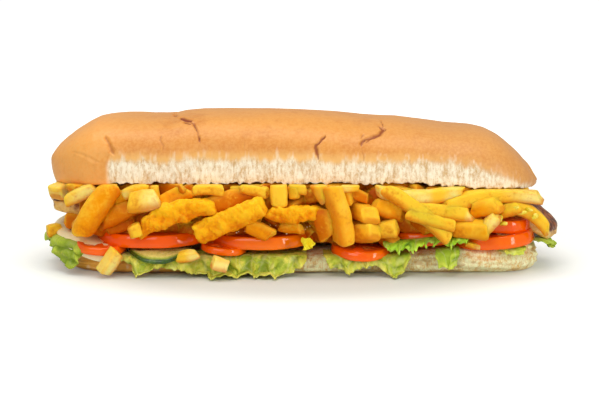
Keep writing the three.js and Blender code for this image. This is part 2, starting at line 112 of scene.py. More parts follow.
def noise(points, cell, seed=0, octaves=2):
    """Smooth value noise, about -1 to 1: the corner values of a lattice with that cell, blended by
    smooth shares of the cell, plus the same at half the cell and half the strength, and so on."""
    total, strength, reach = 0.0, 1.0, 0.0
    for octave in range(octaves):
        place = np.asarray(points) * (2 ** octave / np.asarray(cell)) + 17.31 * octave
        low = np.floor(place).astype(np.int64)
        share = place - low
        share = share * share * (3 - 2 * share)
        blend = 0.0
        for corner in np.ndindex(2, 2, 2):
            near = np.where(corner, share, 1 - share).prod(-1)
            blend = blend + near * corner_values(low + corner, seed + octave)
        total, reach = total + strength * blend, reach + strength
        strength *= 0.5
    return total / reach


def noise_along(values, cell, seed=0):
    """The same noise along a single measure."""
    flat = np.asarray(values, float)
    return noise(np.stack([flat, 0 * flat, 0 * flat], -1), cell, seed)


# Meshes

def tube_faces(rings, around):
    """Triangles of a closed skin over rings of points, with a single point before the first ring
    and one after the last."""
    ring = np.arange(rings * around).reshape(rings, around) + 1
    a, c = ring[:-1], ring[1:]
    b, d = np.roll(a, -1, 1), np.roll(c, -1, 1)
    side = np.stack([a, b, d, a, d, c], -1).reshape(-1, 3)
    first, last = ring[0], ring[-1]
    start = np.stack([np.zeros_like(first), np.roll(first, -1), first], -1)
    end = np.stack([np.full_like(last, rings * around + 1), last, np.roll(last, -1)], -1)
    return np.concatenate([start, side, end])


def close_tube(grid):
    """The points of rings, in a row, with the middle of the first ring before them and the middle of
    the last one after them. The last axis holds the measures of a point."""
    lead = grid.shape[:-3]
    first = grid[..., 0, :, :].mean(-2)[..., None, :]
    last = grid[..., -1, :, :].mean(-2)[..., None, :]
    return np.concatenate([first, grid.reshape(*lead, -1, grid.shape[-1]), last], -2)


def sheet_faces(columns, rows):
    """Two triangles for each cell of a grid of points."""
    index = np.arange(columns * rows).reshape(columns, rows)
    a, b, c, d = index[:-1, :-1], index[1:, :-1], index[1:, 1:], index[:-1, 1:]
    return np.stack([a, b, c, a, c, d], -1).reshape(-1, 3)


def outward(points, faces):
    """The faces of a closed skin, turned round if its signed volume says that they point inwards."""
    a, b, c = (points[faces[:, k]] for k in range(3))
    volume = np.einsum("ij,ij->i", a, np.cross(b, c)).sum()
    return faces if volume > 0 else faces[:, ::-1]


def grid_normals(grid):
    """Unit normals of a grid of points, from the differences of neighbouring points."""
    across = np.cross(np.gradient(grid, axis=-3), np.gradient(grid, axis=-2))
    return across / np.maximum(np.linalg.norm(across, axis=-1, keepdims=True), 1e-9)


def mesh_from(name, points, faces, masks):
    """A smooth mesh from points in millimetres, triangles and one value a point for each mask."""
    mesh = bpy.data.meshes.new(name)
    mesh.vertices.add(len(points))
    mesh.vertices.foreach_set("co", (points * MM).astype(np.float32).ravel())
    mesh.loops.add(faces.size)
    mesh.loops.foreach_set("vertex_index", faces.astype(np.int32).ravel())
    mesh.polygons.add(len(faces))
    mesh.polygons.foreach_set("loop_start", np.arange(0, faces.size, 3, dtype=np.int32))
    mesh.polygons.foreach_set("use_smooth", np.ones(len(faces), bool))
    for mask, values in masks.items():
        layer = mesh.attributes.new(mask, "FLOAT", "POINT")
        layer.data.foreach_set("value", np.broadcast_to(values, len(points)).astype(np.float32))
    mesh.update(calc_edges=True)
    mesh.validate()
    return mesh


def place_piece(name, mesh, material, nodes):
    """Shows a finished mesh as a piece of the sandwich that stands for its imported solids."""
    piece = bpy.data.objects.new(name, mesh)
    bpy.context.scene.collection.objects.link(piece)
    mesh.materials.append(material)
    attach(piece, "root")
    if nodes:
        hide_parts(*nodes)
    return piece


def place_tube(name, grid, masks, material, nodes=()):
    """Closes one skin of rings, or several of equal make, and shows it as a piece. The grid's last axes
    are ring, point of the ring, and the three measures."""
    grid = grid.reshape(-1, *grid.shape[-3:])
    several, rings, around, _ = grid.shape
    points = close_tube(grid)
    faces = outward(points[0], tube_faces(rings, around))
    faces = faces[None] + (np.arange(several) * points.shape[1])[:, None, None]
    values = {
        mask: close_tube(np.broadcast_to(value, grid.shape[:-1])[..., None]).ravel()
        for mask, value in masks.items()
    }
    mesh = mesh_from(name, points.reshape(-1, 3), faces.reshape(-1, 3), values)
    return place_piece(name, mesh, material, nodes)


def place_sheet(name, grid, masks, thickness, material, nodes=()):
    """Shows a grid of points as a thin solid, with half the thickness to each side."""
    columns, rows, _ = grid.shape
    values = {mask: np.broadcast_to(value, (columns, rows)).ravel() for mask, value in masks.items()}
    mesh = mesh_from(name, grid.reshape(-1, 3), sheet_faces(columns, rows), values)
    piece = place_piece(name, mesh, material, nodes)
    solid = piece.modifiers.new("thickness", "SOLIDIFY")
    solid.thickness = thickness * MM
    solid.offset = 0
    return piece


# Shading nodes

class Wiring:
    """Adds nodes to one tree. An input that is a socket is linked, and anything else is set."""

    def __init__(self, tree):
        self.tree = tree

    def add(self, kind, inputs=(), **settings):
        node = self.tree.nodes.new(kind)
        for setting, value in settings.items():
            setattr(node, setting, value)
        for key, value in dict(inputs).items():
            self.put(node.inputs[key], value)
        return node

    def put(self, socket, value):
        if isinstance(value, bpy.types.NodeSocket):
            self.tree.links.new(value, socket)
        elif hasattr(value, "__len__") and len(value) == 3 and socket.type == "RGBA":
            socket.default_value = (*value, 1)
        else:
            socket.default_value = value

    def place(self, stretch=(1, 1, 1)):
        """The point on the piece, in metres, stretched along each axis."""
        here = self.add("ShaderNodeTexCoord").outputs["Object"]
        return self.add("ShaderNodeMapping", {"Vector": here, "Scale": stretch}).outputs[0]

    def noise(self, scale, detail=3, rough=0.55, stretch=(1, 1, 1)):
        inputs = {"Vector": self.place(stretch), "Scale": scale, "Detail": detail, "Roughness": rough}
        return self.add("ShaderNodeTexNoise", inputs).outputs["Fac"]

    def cells(self, scale, feature="DISTANCE_TO_EDGE", stretch=(1, 1, 1)):
        inputs = {"Vector": self.place(stretch), "Scale": scale}
        return self.add("ShaderNodeTexVoronoi", inputs, feature=feature).outputs["Distance"]

    def mask(self, name):
        return self.add("ShaderNodeAttribute", attribute_name=name).outputs["Fac"]

    def span(self, value, low, high, to_low=0.0, to_high=1.0):
        """The value's share of the way from low to high, as a smooth S."""
        inputs = {"Value": value, "From Min": low, "From Max": high, "To Min": to_low, "To Max": to_high}
        return self.add("ShaderNodeMapRange", inputs, interpolation_type="SMOOTHSTEP").outputs["Result"]

    def math(self, operation, *values):
        node = self.add("ShaderNodeMath", enumerate(values), operation=operation)
        return node.outputs[0]

    def mix(self, share, first, second):
        node = self.add("ShaderNodeMix", data_type="RGBA")
        for socket, value in zip((node.inputs[0], node.inputs[6], node.inputs[7]), (share, first, second)):
            self.put(socket, value)
        return node.outputs[2]

    def bump(self, height, distance, strength):
        inputs = {"Height": height, "Distance": distance * MM, "Strength": strength}
        return self.add("ShaderNodeBump", inputs).outputs["Normal"]


def new_group(name, inputs, outputs):
    """An empty shader group with named sockets. Each input is its name, kind and default."""
    tree = bpy.data.node_groups.new(name, "ShaderNodeTree")
    for label, kind, default in inputs:
        socket = tree.interface.new_socket(label, in_out="INPUT", socket_type=kind)
        socket.default_value = default
    for label, kind in outputs:
        tree.interface.new_socket(label, in_out="OUTPUT", socket_type=kind)
    wiring = Wiring(tree)
    return wiring, wiring.add("NodeGroupInput").outputs, wiring.add("NodeGroupOutput")


COLOUR, NUMBER = "NodeSocketColor", "NodeSocketFloat"
WHITE = (1, 1, 1, 1)


def mottle_group():
    """Uneven cooking: three colours spread by a broad noise and a finer one, both on the piece itself."""
    wiring, given, out = new_group("Uneven cooking", [
        ("Pale", COLOUR, WHITE), ("Middle", COLOUR, WHITE), ("Deep", COLOUR, WHITE),
        ("Patch size", NUMBER, 60.0), ("Shift", NUMBER, 0.0),
    ], [("Colour", COLOUR)])
    broad = wiring.noise(given["Patch size"], 3, 0.6)
    fine = wiring.noise(wiring.math("MULTIPLY", given["Patch size"], 6.5), 2, 0.5)
    both = wiring.math("ADD", wiring.math("MULTIPLY", broad, 0.7), wiring.math("MULTIPLY", fine, 0.3))
    share = wiring.math("ADD", both, given["Shift"])
    low = wiring.mix(wiring.span(share, 0.34, 0.5), given["Pale"], given["Middle"])
    wiring.put(out.inputs["Colour"], wiring.mix(wiring.span(share, 0.5, 0.68), low, given["Deep"]))
    return wiring.tree


def crumb_group():
    """Torn bread: pale shreds that run up and down with finer grain in them, as a colour and a height."""
    wiring, given, out = new_group("Torn crumb", [
        ("Light", COLOUR, WHITE), ("Shade", COLOUR, WHITE), ("Grain", NUMBER, 900.0),
    ], [("Colour", COLOUR), ("Height", NUMBER)])

    def layer(stretch, factor, rough):
        scale = wiring.math("MULTIPLY", given["Grain"], factor)
        return wiring.add("ShaderNodeTexNoise", {"Vector": wiring.place(stretch), "Scale": scale, "Detail": 3,
                                                 "Roughness": rough, "Distortion": 0.4}).outputs["Fac"]

    shreds = layer((1, 1, 0.3), 0.5, 0.65)
    tufts = layer((1, 1, 0.6), 0.2, 0.5)
    grain = layer((1, 1, 0.8), 1.4, 0.5)
    height = wiring.math("ADD", wiring.math("MULTIPLY", shreds, 0.5), wiring.math("MULTIPLY", tufts, 0.3))
    height = wiring.math("ADD", height, wiring.math("MULTIPLY", grain, 0.2))
    wiring.put(out.inputs["Colour"],
               wiring.mix(wiring.span(height, 0.36, 0.58), given["Shade"], given["Light"]))
    wiring.put(out.inputs["Height"], height)
    return wiring.tree


def grouped(wiring, name, build, inputs):
    """The outputs of a node that holds the shader group of that name, with its inputs set. The group is
    built the first time that it is asked for."""
    node = wiring.add("ShaderNodeGroup", node_tree=bpy.data.node_groups.get(name) or build())
    for key, value in inputs.items():
        wiring.put(node.inputs[key], value)
    return node.outputs


def uneven(wiring, pale, middle, deep, patch, shift=0.0):
    """The colour of one use of the uneven cooking."""
    inputs = {"Pale": pale, "Middle": middle, "Deep": deep, "Patch size": patch, "Shift": shift}
    return grouped(wiring, "Uneven cooking", mottle_group, inputs)["Colour"]


def new_material(name):
    """A material with a Principled shader that is linked to its output."""
    material = bpy.data.materials.new(name)
    material.use_nodes = True
    shader = material.node_tree.nodes["Principled BSDF"]
    return material, Wiring(material.node_tree), shader


def finish_material(wiring, shader, colour, roughness, normal=None, **constants):
    wiring.put(shader.inputs["Base Color"], colour)
    wiring.put(shader.inputs["Roughness"], roughness)
    if normal is not None:
        wiring.put(shader.inputs["Normal"], normal)
    for key, value in constants.items():
        shader.inputs[key.replace("_", " ").title().replace("Ior", "IOR")].default_value = value


# Sizes and colours that a user may change

def paint(red, green, blue):
    """A colour from its 0 to 255 values on screen, as the shaders take it."""
    shares = [channel / 255 for channel in (red, green, blue)]
    return tuple(s / 12.92 if s <= 0.04045 else ((s + 0.055) / 1.055) ** 2.4 for s in shares)


def length_property(name, description, default):
    return FloatProperty(name=name, description=description, default=default, min=0, subtype="DISTANCE",
                         unit="LENGTH")


def colour_property(name, description, *screen):
    return FloatVectorProperty(name=name, description=description, default=paint(*screen), size=3, min=0,
                               max=1, subtype="COLOR")


class RollSizes(bpy.types.PropertyGroup):
    """Sizes of the bread and its filling."""

    tear_height: length_property("Torn height", "Height of the torn crumb above the cut", 0.0143)
    crack_depth: length_property("Crack depth", "Depth of the cracks in the crust", 0.0017)
    leaf_thickness: length_property("Leaf thickness", "Thickness of a lettuce leaf", 0.0006)
    tomato_thickness: length_property("Tomato thickness", "Thickness of a tomato slice", 0.0076)
    cucumber_thickness: length_property("Cucumber thickness", "Thickness of a cucumber slice", 0.0023)
    slice_thickness: length_property("Pale slice thickness", "Thickness of the soft pale slice", 0.0026)
    chip_seed: IntProperty(name="Chip seed", description="Start of the draws for the hidden chips",
                           default=7, min=0)
    crumb_count: IntProperty(name="Crumbs", description="How many crumbs and salt grains lie about",
                             default=60, min=0)


class BreadColours(bpy.types.PropertyGroup):
    """Colours of the bread."""

    crust_pale: colour_property("Pale crust", "Crust just above the torn crumb", 242, 186, 106)
    crust_gold: colour_property("Golden crust", "Most of the crust", 231, 154, 66)
    crust_brown: colour_property("Brown crust", "Darker patches of the crust", 212, 130, 46)
    # Grey patches of the crust, and a painted sheen towards its right end.
    crust_grey_and_sheen: colour_property("Dull crust", "Greyer patches of the crust", 216, 150, 82)
    crust_lit: colour_property("Lit crust", "Crust of the left end", 250, 172, 84)
    # Painted shade in the cracks and the dent, and in a line along the torn crumb's lower edge.
    crack_shade: colour_property("Crack", "Inside of the cracks", 146, 66, 24)
    crumb_light: colour_property("Crumb", "Torn crumb in the light", 254, 242, 216)
    crumb_shade: colour_property("Crumb shade", "Holes of the crumb", 214, 176, 124)
    base_brown: colour_property("Base", "Brown base of the lower half", 255, 184, 68)
    base_crumb: colour_property("Base crumb", "Torn crumb of the lower half in the light", 255, 252, 204)
    # The next two colours are painted shade, in the lower half's folds and in its creases and along its foot.
    base_fold_shade: colour_property("Base folds", "Deeper folds of the lower half's crumb", 186, 134, 70)
    base_crease_shade: colour_property("Base creases", "Creases of the lower half", 206, 136, 50)
    base_shade: colour_property("Base crumb shade", "Holes of the lower half's crumb", 230, 184, 100)


class FillingColours(bpy.types.PropertyGroup):
    """Colours of the filling."""

    chip_cream: colour_property("Cream chip", "The palest chips", 252, 230, 138)
    chip_pale: colour_property("Pale chip", "Paler chips and cut ends", 255, 202, 54)
    chip_gold: colour_property("Golden chip", "Most of the chips", 246, 160, 6)
    chip_deep: colour_property("Deep chip", "Darkest chips", 206, 98, 0)
    chip_edge: colour_property("Chip edge", "Crisp edges of the chips", 200, 98, 2)
    batter_light: colour_property("Light batter", "Palest batter", 255, 200, 34)
    batter_gold: colour_property("Golden batter", "Most of the batter", 252, 166, 6)
    batter_dark: colour_property("Dark batter", "Darkest batter", 212, 100, 0)
    # The hem colour also paints highlight on the ridges of the folds, and the two fold colours paint shade in
    # their troughs as well as darker patches.
    leaf_hem_and_highlight: colour_property("Leaf hem", "Frilled edges of the leaves", 236, 226, 96)
    leaf_green: colour_property("Leaf", "Most of each leaf", 186, 200, 62)
    leaf_dark_and_fold_shade: colour_property("Leaf folds", "Darker parts of the leaves", 118, 142, 26)
    fresh_light: colour_property("Fresh leaf", "Lit parts of the greenest leaves", 204, 248, 62)
    fresh_dark_and_fold_shade: colour_property("Fresh leaf folds", "Folds of the greenest leaves", 84, 136, 18)
    leaf_vein: colour_property("Leaf veins", "Ribs and veins of the leaves", 236, 234, 168)
    leaf_yellow: colour_property("Yellow leaf", "The small frill", 244, 222, 40)
    tomato_skin: colour_property("Tomato skin", "Skin round each slice", 255, 100, 0)
    tomato_flesh: colour_property("Tomato flesh", "Flesh of the slices", 250, 100, 16)
    tomato_wet: colour_property("Tomato jelly", "Seed pockets", 244, 124, 44)
    tomato_ripe: colour_property("Ripe tomato skin", "Deeper patches of the skin", 255, 120, 0)
    tomato_warm: colour_property("Warm tomato skin", "Orange side of some slices", 255, 134, 0)
    tomato_seed: colour_property("Tomato seeds", "Seeds in the pockets", 252, 214, 120)
    cucumber_rind: colour_property("Cucumber rind", "Rind of the slices", 42, 74, 8)
    cucumber_flesh: colour_property("Cucumber flesh", "Flesh of the slices", 240, 236, 128)
    cucumber_deep: colour_property("Deep cucumber flesh", "Darker flesh", 206, 206, 96)
    cucumber_seed: colour_property("Cucumber seeds", "Seeds of the slices", 232, 226, 160)
    cucumber_green: colour_property("Cucumber edge", "Flesh next to the rind", 150, 176, 56)
    rind_light: colour_property("Light rind", "Lighter stripes of the rind", 70, 104, 14)
    slice_deep: colour_property("Deep pale slice", "Darker patches of the slice", 240, 206, 140)
    slice_hem: colour_property("Pale slice hem", "Edge of the slice", 255, 240, 200)
    slice_cream: colour_property("Pale slice", "The soft pale slice", 250, 228, 176)
    sear_char: colour_property("Char", "Darkest parts of the seared side", 74, 30, 10)
    sear_brown: colour_property("Sear", "Seared side", 158, 86, 30)
    sear_pale: colour_property("Fillet side", "Cooked sides of the fillets", 236, 184, 92)
    sear_light: colour_property("Light sear", "Palest parts of the seared side", 206, 128, 56)
    sear_cream: colour_property("Pale fillet side", "Palest parts of the sides", 244, 214, 150)
    sauce: colour_property("Sauce", "Relish on the chips", 240, 214, 46)
    sauce_light: colour_property("Light sauce", "Palest relish", 252, 236, 120)
    sauce_dark: colour_property("Dark sauce", "Darkest relish", 190, 168, 20)


class StageSettings(bpy.types.PropertyGroup):
    """Floor and light."""

    floor_colour: colour_property("Floor", "Colour of the floor", 222, 223, 215)
    floor_light: colour_property("Light floor", "Lighter patches of the floor", 240, 239, 236)
    daylight: FloatProperty(name="Daylight", description="Strength of the light from all sides",
                            default=0.4, min=0)
    overhead: FloatProperty(name="Overhead light", description="Power of the large light above",
                            default=5.9, min=0, unit="POWER")
    front: FloatProperty(name="Front light", description="Power of the soft light before the roll",
                         default=4.0, min=0, unit="POWER")
    side: FloatProperty(name="Side light", description="Power of the tall light at the right",
                        default=4.4, min=0, unit="POWER")


def sizes():
    return bpy.context.scene.roll_sizes


def bread():
    return bpy.context.scene.bread_colours


def filling():
    return bpy.context.scene.filling_colours


# Bread

def cut_height(x):
    """Height of the upper half's flat cut: level, and lower towards both ends."""
    drop = CUT["left_drop"] * smoothstep(-x, 110, 157) + CUT["right_drop"] * smoothstep(x, 60, 148)
    return CUT["front"] - drop


def rim_height(x):
    """Height of the lower half's rim: level, and higher towards both ends."""
    rise = RIM["left_rise"] * smoothstep(-x, 105, 148) + RIM["right_rise"] * smoothstep(x, 50, 105)
    return RIM["height"] + rise


# What the crown's outline departs by from its plain sweep: x, and millimetres up or down.
CROWN_TRIM = [(-155, -3.0), (-143, -2.6), (-134, -1.6), (-124, 0), (-105, -0.6), (-92, -1.8), (-77, -2.0),
              (-72, -0.9), (-60, 0.1), (-42, 0.5), (0, 0), (22, -0.5), (38, -1.2), (60, -0.2), (90, -0.9),
              (102, 0), (116, 1.9), (124, 1.8), (134, 0.4), (142, -1.4), (148, -3)]


def crown_measures(x):
    """Cut, nose and crown heights of the upper half, its half width and how its ends close, along x."""
    left = (LOAF["left"] + LOAF["end"] - x) / LOAF["end"]
    right = (x - LOAF["right"] + LOAF["end"]) / LOAF["end"]
    cut = cut_height(x)
    nose = cut + lerp(CUT["left_nose"], CUT["right_nose"], smoothstep(x, LOAF["left"], LOAF["right"]))
    crown = CROWN["peak_z"] - CROWN["sag"] * (x - CROWN["peak_x"]) ** 2
    width = LOAF["half_width"] * round_off(left, LOAF["end_power"]) * round_off(right, LOAF["end_power"])
    closing = round_off(left, CROWN["left_power"]) * round_off(right, CROWN["right_power"])
    trim = np.interp(x, *np.transpose(CROWN_TRIM)) / np.maximum((crown - nose) * closing, 8)
    return cut, nose, crown, width, closing * (1 + trim)


def even_angles(count, dense_end):
    """Angles from the front rim over the crown to the back rim, with about equal steps along a section of
    the loaf, and shorter steps towards the front."""
    angle = np.linspace(0, math.pi, 4000)
    power = 2 / CROWN["section"]
    across = -LOAF["half_width"] * signed_power(np.cos(angle), power)
    up = CROWN["over_nose"] * np.sin(angle) ** power
    length = np.concatenate([[0], np.cumsum(np.hypot(np.diff(across), np.diff(up)))])
    length /= length[-1]
    steps = np.linspace(0, 1, count)
    return np.interp(lerp(steps ** dense_end, steps, 0.35), length, angle)


def bread_section(x, arc, wall, under):
    """Points of the upper half, ring by ring: from under the middle to the front, up the front wall, over
    the crown in a superellipse, down the back wall and under again. The wall falls from the nose to the cut
    and turns in a little, in a quarter of an ellipse."""
    x = x[:, None]
    cut, nose, crown, width, closing = crown_measures(x)
    power = 2 / CROWN["section"]
    arc_y = -width * signed_power(np.cos(arc), power)
    arc_z = nose + (crown - nose) * closing * np.sin(arc) ** power
    tuck = lerp(0.03, 0.12, smoothstep(-x, 116, 140))
    wall_y = width * (1 - tuck * (1 - np.sqrt(1 - wall ** 2 * 0.98)))
    wall_z = nose - (nose - cut) * wall * np.minimum(1, closing * 3)
    edge_y, edge_z = wall_y[:, -1:], wall_z[:, -1:]
    floor_y, floor_z = edge_y * under, edge_z + 0 * under
    y = np.concatenate([-floor_y, -wall_y[:, ::-1], arc_y, wall_y, floor_y[:, ::-1]], 1)
    z = np.concatenate([floor_z, wall_z[:, ::-1], arc_z, wall_z, floor_z[:, ::-1]], 1)
    return np.stack([x + 0 * y, y, z], -1)


def skin_point(x, lift):
    """A point of the crust at x and a number of degrees up from the front rim."""
    _, nose, crown, width, closing = crown_measures(np.asarray(float(x)))
    angle, power = math.radians(lift), 2 / CROWN["section"]
    return np.array([x, -width * signed_power(math.cos(angle), power),
                     nose + (crown - nose) * closing * math.sin(angle) ** power])


def groove_along(points, path, width, taper):
    """How deep in a groove each point is, from 0 to 1: a bell of its distance from a path of straight runs.
    The groove narrows towards its ends, and widens and breaks up with the noise given as taper."""
    lengths = np.linalg.norm(np.diff(path, axis=0), axis=-1)
    reached, deepest = 0.0, np.zeros(points.shape[:-1])
    for start, end, length in zip(path[:-1], path[1:], lengths):
        run = end - start
        share = np.clip(((points - start) @ run) / (run @ run), 0, 1)
        away = np.linalg.norm(points - start - share[..., None] * run, axis=-1)
        done = (reached + share * length) / lengths.sum()
        narrow = width * np.clip(4.5 * np.minimum(done + 0.04, 1.04 - done), 0.25, 1) * taper
        deepest = np.maximum(deepest, np.exp(-(away / narrow) ** 2))
        reached += length
    return deepest


# Marks in the crust: each has points at x and degrees up from the front rim, a depth as a share of the crack
# depth, a width in millimetres, and how much painted shade darkens it, or how pale it is painted where that
# is below zero.
CRACKS = [
    ([(-79, 100), (-77.5, 84), (-74, 66)], 0.9, 0.9, 0.5),
    ([(-73, 70), (-69.5, 61), (-64.5, 54)], 1.0, 1.5, 1.0),
    ([(-67, 58), (-64, 52), (-62.4, 42), (-59.8, 22)], 0.9, 0.8, 0.8),
    ([(-64, 49), (-60, 40), (-58, 33)], 0.0, 1.0, -0.35),
    ([(-70, 55), (-65, 50)], 0.5, 0.9, 0.7),
    ([(16, 38), (12.5, 31), (9.8, 25), (9.4, 18), (11, 10)], 0.9, 0.95, 0.7),
    ([(13, 24), (11.8, 17), (12.3, 11)], 0.0, 0.8, -0.3),
    ([(48.5, 80), (50, 66), (51, 55)], 0.5, 0.5, 0.7),
    ([(47.5, 62), (50.5, 55), (48, 46), (44, 40), (38.5, 36)], 0.9, 1.15, 0.7),
    ([(50, 60), (52, 54)], 0.4, 0.5, 0.6),
    ([(44, 43), (40, 33), (38, 33)], 0.5, 0.6, 0.7),
    ([(39.5, 38), (36.5, 31), (36.5, 26)], 0.6, 0.9, 0.65),
    ([(36.5, 26), (38, 17), (38.5, 9)], 0.2, 0.5, 0.4),
    ([(38.5, 45), (36, 38)], 0.3, 0.6, 0.45),
    # A dent: painted shade in its hollow, then a painted highlight along its rim.
    ([(-117, 34), (-115, 26), (-113, 17), (-111, 8)], 0.9, 1.5, 0.4),
    ([(-115, 38), (-112.5, 27), (-110, 17), (-108, 7)], 0.0, 1.0, -0.4),
    ([(-83, 37), (-83.5, 28), (-81, 20), (-82, 13)], 0.3, 0.7, 0.4),
    ([(-56, 30), (-55, 20)], 0.1, 0.5, 0.25),
    ([(-33, 26), (-34, 14)], 0.2, 0.6, 0.35),
    ([(66, 15), (66, 3)], 0.25, 0.7, 0.4),
    ([(-137, 18), (-131, 11), (-125, 5), (-119, 1)], 0.25, 0.9, -0.75),
]


def tear_top(x, sizes_now):
    """Height of the upper edge of the torn crumb along x: a wavy line that runs down towards the right."""
    wander = 1.1 * noise_along(x, 25, 3) + 0.8 * noise_along(x, 8, 4)
    return cut_height(x) + sizes_now.tear_height / MM + wander - 11.5 * smoothstep(x, 96, 142)


def top_section_grid():
    """The plain upper half, with rings that are closer together towards both ends, and the mask that is 1 on
    its underside."""
    half = (LOAF["right"] - LOAF["left"]) / 2
    run = np.linspace(-1, 1, TOP_STEPS["along"] + 2)[1:-1]
    run = np.sin(run * math.pi / 2 * 0.999) * 0.25 + run * 0.75
    x = (LOAF["left"] + LOAF["right"]) / 2 + half * np.clip(run, -0.99996, 0.99996)
    wall = np.linspace(0, 1, TOP_STEPS["wall"] + 1)[1:] ** 0.9
    under = np.linspace(0, 1, TOP_STEPS["under"] + 1)[:-1]
    grid = bread_section(x, even_angles(TOP_STEPS["over"], 1.3), wall, under)
    underside = np.zeros(grid.shape[:-1])
    underside[:, :under.size] = 1
    underside[:, -under.size:] = 1
    return grid, underside


def top_normals(grid, cut):
    """Unit normals of the upper half, turned away from a line that runs along inside it."""
    normal = grid_normals(grid)
    outside = grid[..., 1:] - np.stack([0 * cut, cut + CROWN["core"]], -1)
    facing = np.sign((normal[..., 1:] * outside).sum(-1))
    return normal * facing[..., None]


def crust_marks(grid, crust, crack_depth):
    """The marks of the crust, each a groove with a raised rim on both sides, along a path that a fine noise
    bends. Returns how far the points move outwards and the mask crack, which is painted shade in the grooves
    and below zero where a mark is painted pale."""
    ragged = grid + 0.75 * np.stack([noise(grid, 2.6, 21), noise(grid, 2.6, 22), noise(grid, 2.6, 23)], -1)
    taper = np.clip(1 + 0.9 * noise(grid, 5, 24), 0.35, 1.7)
    push, crack_shade = 0.0, np.zeros(grid.shape[:-1])
    # The last value of each mark is its painted shade, which is pale where it is below zero.
    for marks, depth, width, brown in CRACKS:
        path = np.array([skin_point(*mark) for mark in marks])
        groove = groove_along(ragged, path, width, taper)
        rim = groove_along(ragged, path, 2.4 * width, taper)
        push = push + crack_depth * depth * (0.3 * rim - 1.15 * groove) * crust
        crack_shade = np.where(np.abs(brown * groove) > np.abs(crack_shade), brown * groove, crack_shade)
    return push, crack_shade


def crust_dents(grid, above):
    """Soft dents of three sizes over the crust, and shallow wrinkles just above the tear."""
    dents = 0.8 * noise(grid, 46, 11) + 0.42 * noise(grid, 17, 12) + 0.09 * noise(grid, 3.2, 13)
    wrinkled = grid * np.array([1, 0.35, 0.35])
    return dents + 0.16 * noise(wrinkled, 4.2, 14) * (1 - smoothstep(above, 8, 26))


def roll_top_grid():
    """The upper half with its relief: soft dents, cracks, wrinkles above the tear, and torn crumb with
    a ragged lower edge, under which a dark line is painted as shadow. Returns the grid of points and its
    masks."""
    now = sizes()
    grid, underside = top_section_grid()
    across = grid[..., 1] / LOAF["half_width"]
    along = grid[..., 0]
    cut = cut_height(along)
    inside = smoothstep(along, TEAR["left"] - 2, TEAR["left"] + 2)
    inside = inside * smoothstep(-along, -TEAR["right"] - 6, 3 - TEAR["right"])
    above = grid[..., 2] - tear_top(along, now)
    stretched = grid * np.array([1, 1, 0.13])
    threads = noise(stretched, 1.9, 31)
    strands = noise(stretched, 4.5, 32)
    hairs = noise(grid * np.array([1, 1, 0.16]), 1.05, 33)
    torn_line = above - 0.9 * threads - 1.7 * strands - 0.7 * hairs
    crumb = np.maximum(inside * (1 - smoothstep(torn_line, -2.2, 2.4)), underside)
    crust = 1 - crumb
    marks, crack_shade = crust_marks(grid, crust, now.crack_depth / MM)
    just_above = smoothstep(above, -1, 1.5) * (1 - smoothstep(above, 1.5, 9 + 5 * strands)) * inside
    torn_relief = 0.4 * threads + 0.4 * noise(grid, 1.9, 42) - 0.6
    push = crust * crust_dents(grid, above) + marks + 0.3 * threads * just_above
    push = push + crumb * (1 - underside) * torn_relief
    grid = grid + top_normals(grid, cut) * push[..., None]
    fringe = noise_along(along + 0.8 * noise(grid, 2.2, 51), 1.9, 52)
    low = smoothstep(cut + 3.6 - grid[..., 2], 0, 3.6) * inside * smoothstep(np.abs(across), 0.6, 0.9)
    grid[..., 2] += low * (1.3 * fringe + 0.7 * noise_along(along, 21, 54) + 0.2)
    grid[..., 2] += underside * 0.6 * noise(grid, 5, 53) * (1 - low)
    # Painted shadow: a dark line in patches along the torn crumb's lower edge, added to the crack mask.
    painted_shadow_line = low ** 3 * smoothstep(noise_along(along, 26, 55) + 0.5 * fringe, 0.0, 0.5)
    bake = above / np.maximum(CROWN["peak_z"] - grid[..., 2] + above, 1)
    streaks = np.clip(0.25 + 0.7 * hairs + 0.5 * strands, 0, 1) * just_above
    return grid, {"crumb": crumb, "bake": np.clip(bake, 0, 1), "crack_shade": np.maximum(crack_shade, 0.75 * painted_shadow_line),
                  "fibre": streaks, "height": np.clip(above / 30 + 0.5 * (1 - inside), 0, 1)}


def foot_steps(half, power, count):
    """Places along half of the lower half's outline, from its middle towards a tip, at equal steps along the
    outline: straight, then a quarter of a superellipse."""
    angle = np.linspace(0, math.pi / 2, 4000)
    x = np.append(0, FOOT["straight"] + (half - FOOT["straight"]) * np.sin(angle) ** (2 / power))
    y = np.append(FOOT["half_width"], FOOT["half_width"] * np.maximum(np.cos(angle), 0) ** (2 / power))
    length = np.append(0, np.cumsum(np.hypot(np.diff(x), np.diff(y))))
    return np.interp(np.linspace(0, length[-1], count + 1)[:-1], length, x)


def base_section_grid():
    """The plain lower half: rings along it, each a flattened round that is cut level at the foot and at the
    rim, and narrower where the outline closes. Returns the points, how far each ring lies into the rounded
    ends, and a mask that is 1 on the outer side."""
    middle, half = (FOOT["left"] + FOOT["right"]) / 2, (FOOT["right"] - FOOT["left"]) / 2
    run = np.concatenate([-foot_steps(half, FOOT["left_power"], BASE_STEPS["half"])[:0:-1],
                          foot_steps(half, FOOT["right_power"], BASE_STEPS["half"])])
    x = (middle + run)[:, None]
    share = (np.abs(x - middle) - FOOT["straight"]) / (half - FOOT["straight"])
    power = np.where(x > middle, FOOT["right_power"], FOOT["left_power"])
    width, rim = FOOT["half_width"] * round_off(share, power), rim_height(x)
    angle = np.linspace(0, 2 * math.pi, BASE_STEPS["around"], endpoint=False)
    rounded = round_off(share, 1.5 * power) * signed_power(np.sin(angle), 0.8)
    height = np.clip(rim * (0.5 + 0.62 * rounded), 0, rim)
    y = width * signed_power(np.cos(angle), 0.42)
    side = smoothstep(np.abs(y) / np.maximum(width, 1), 0.75, 0.97)
    return np.stack([x + 0 * y, y, height], -1), share, side


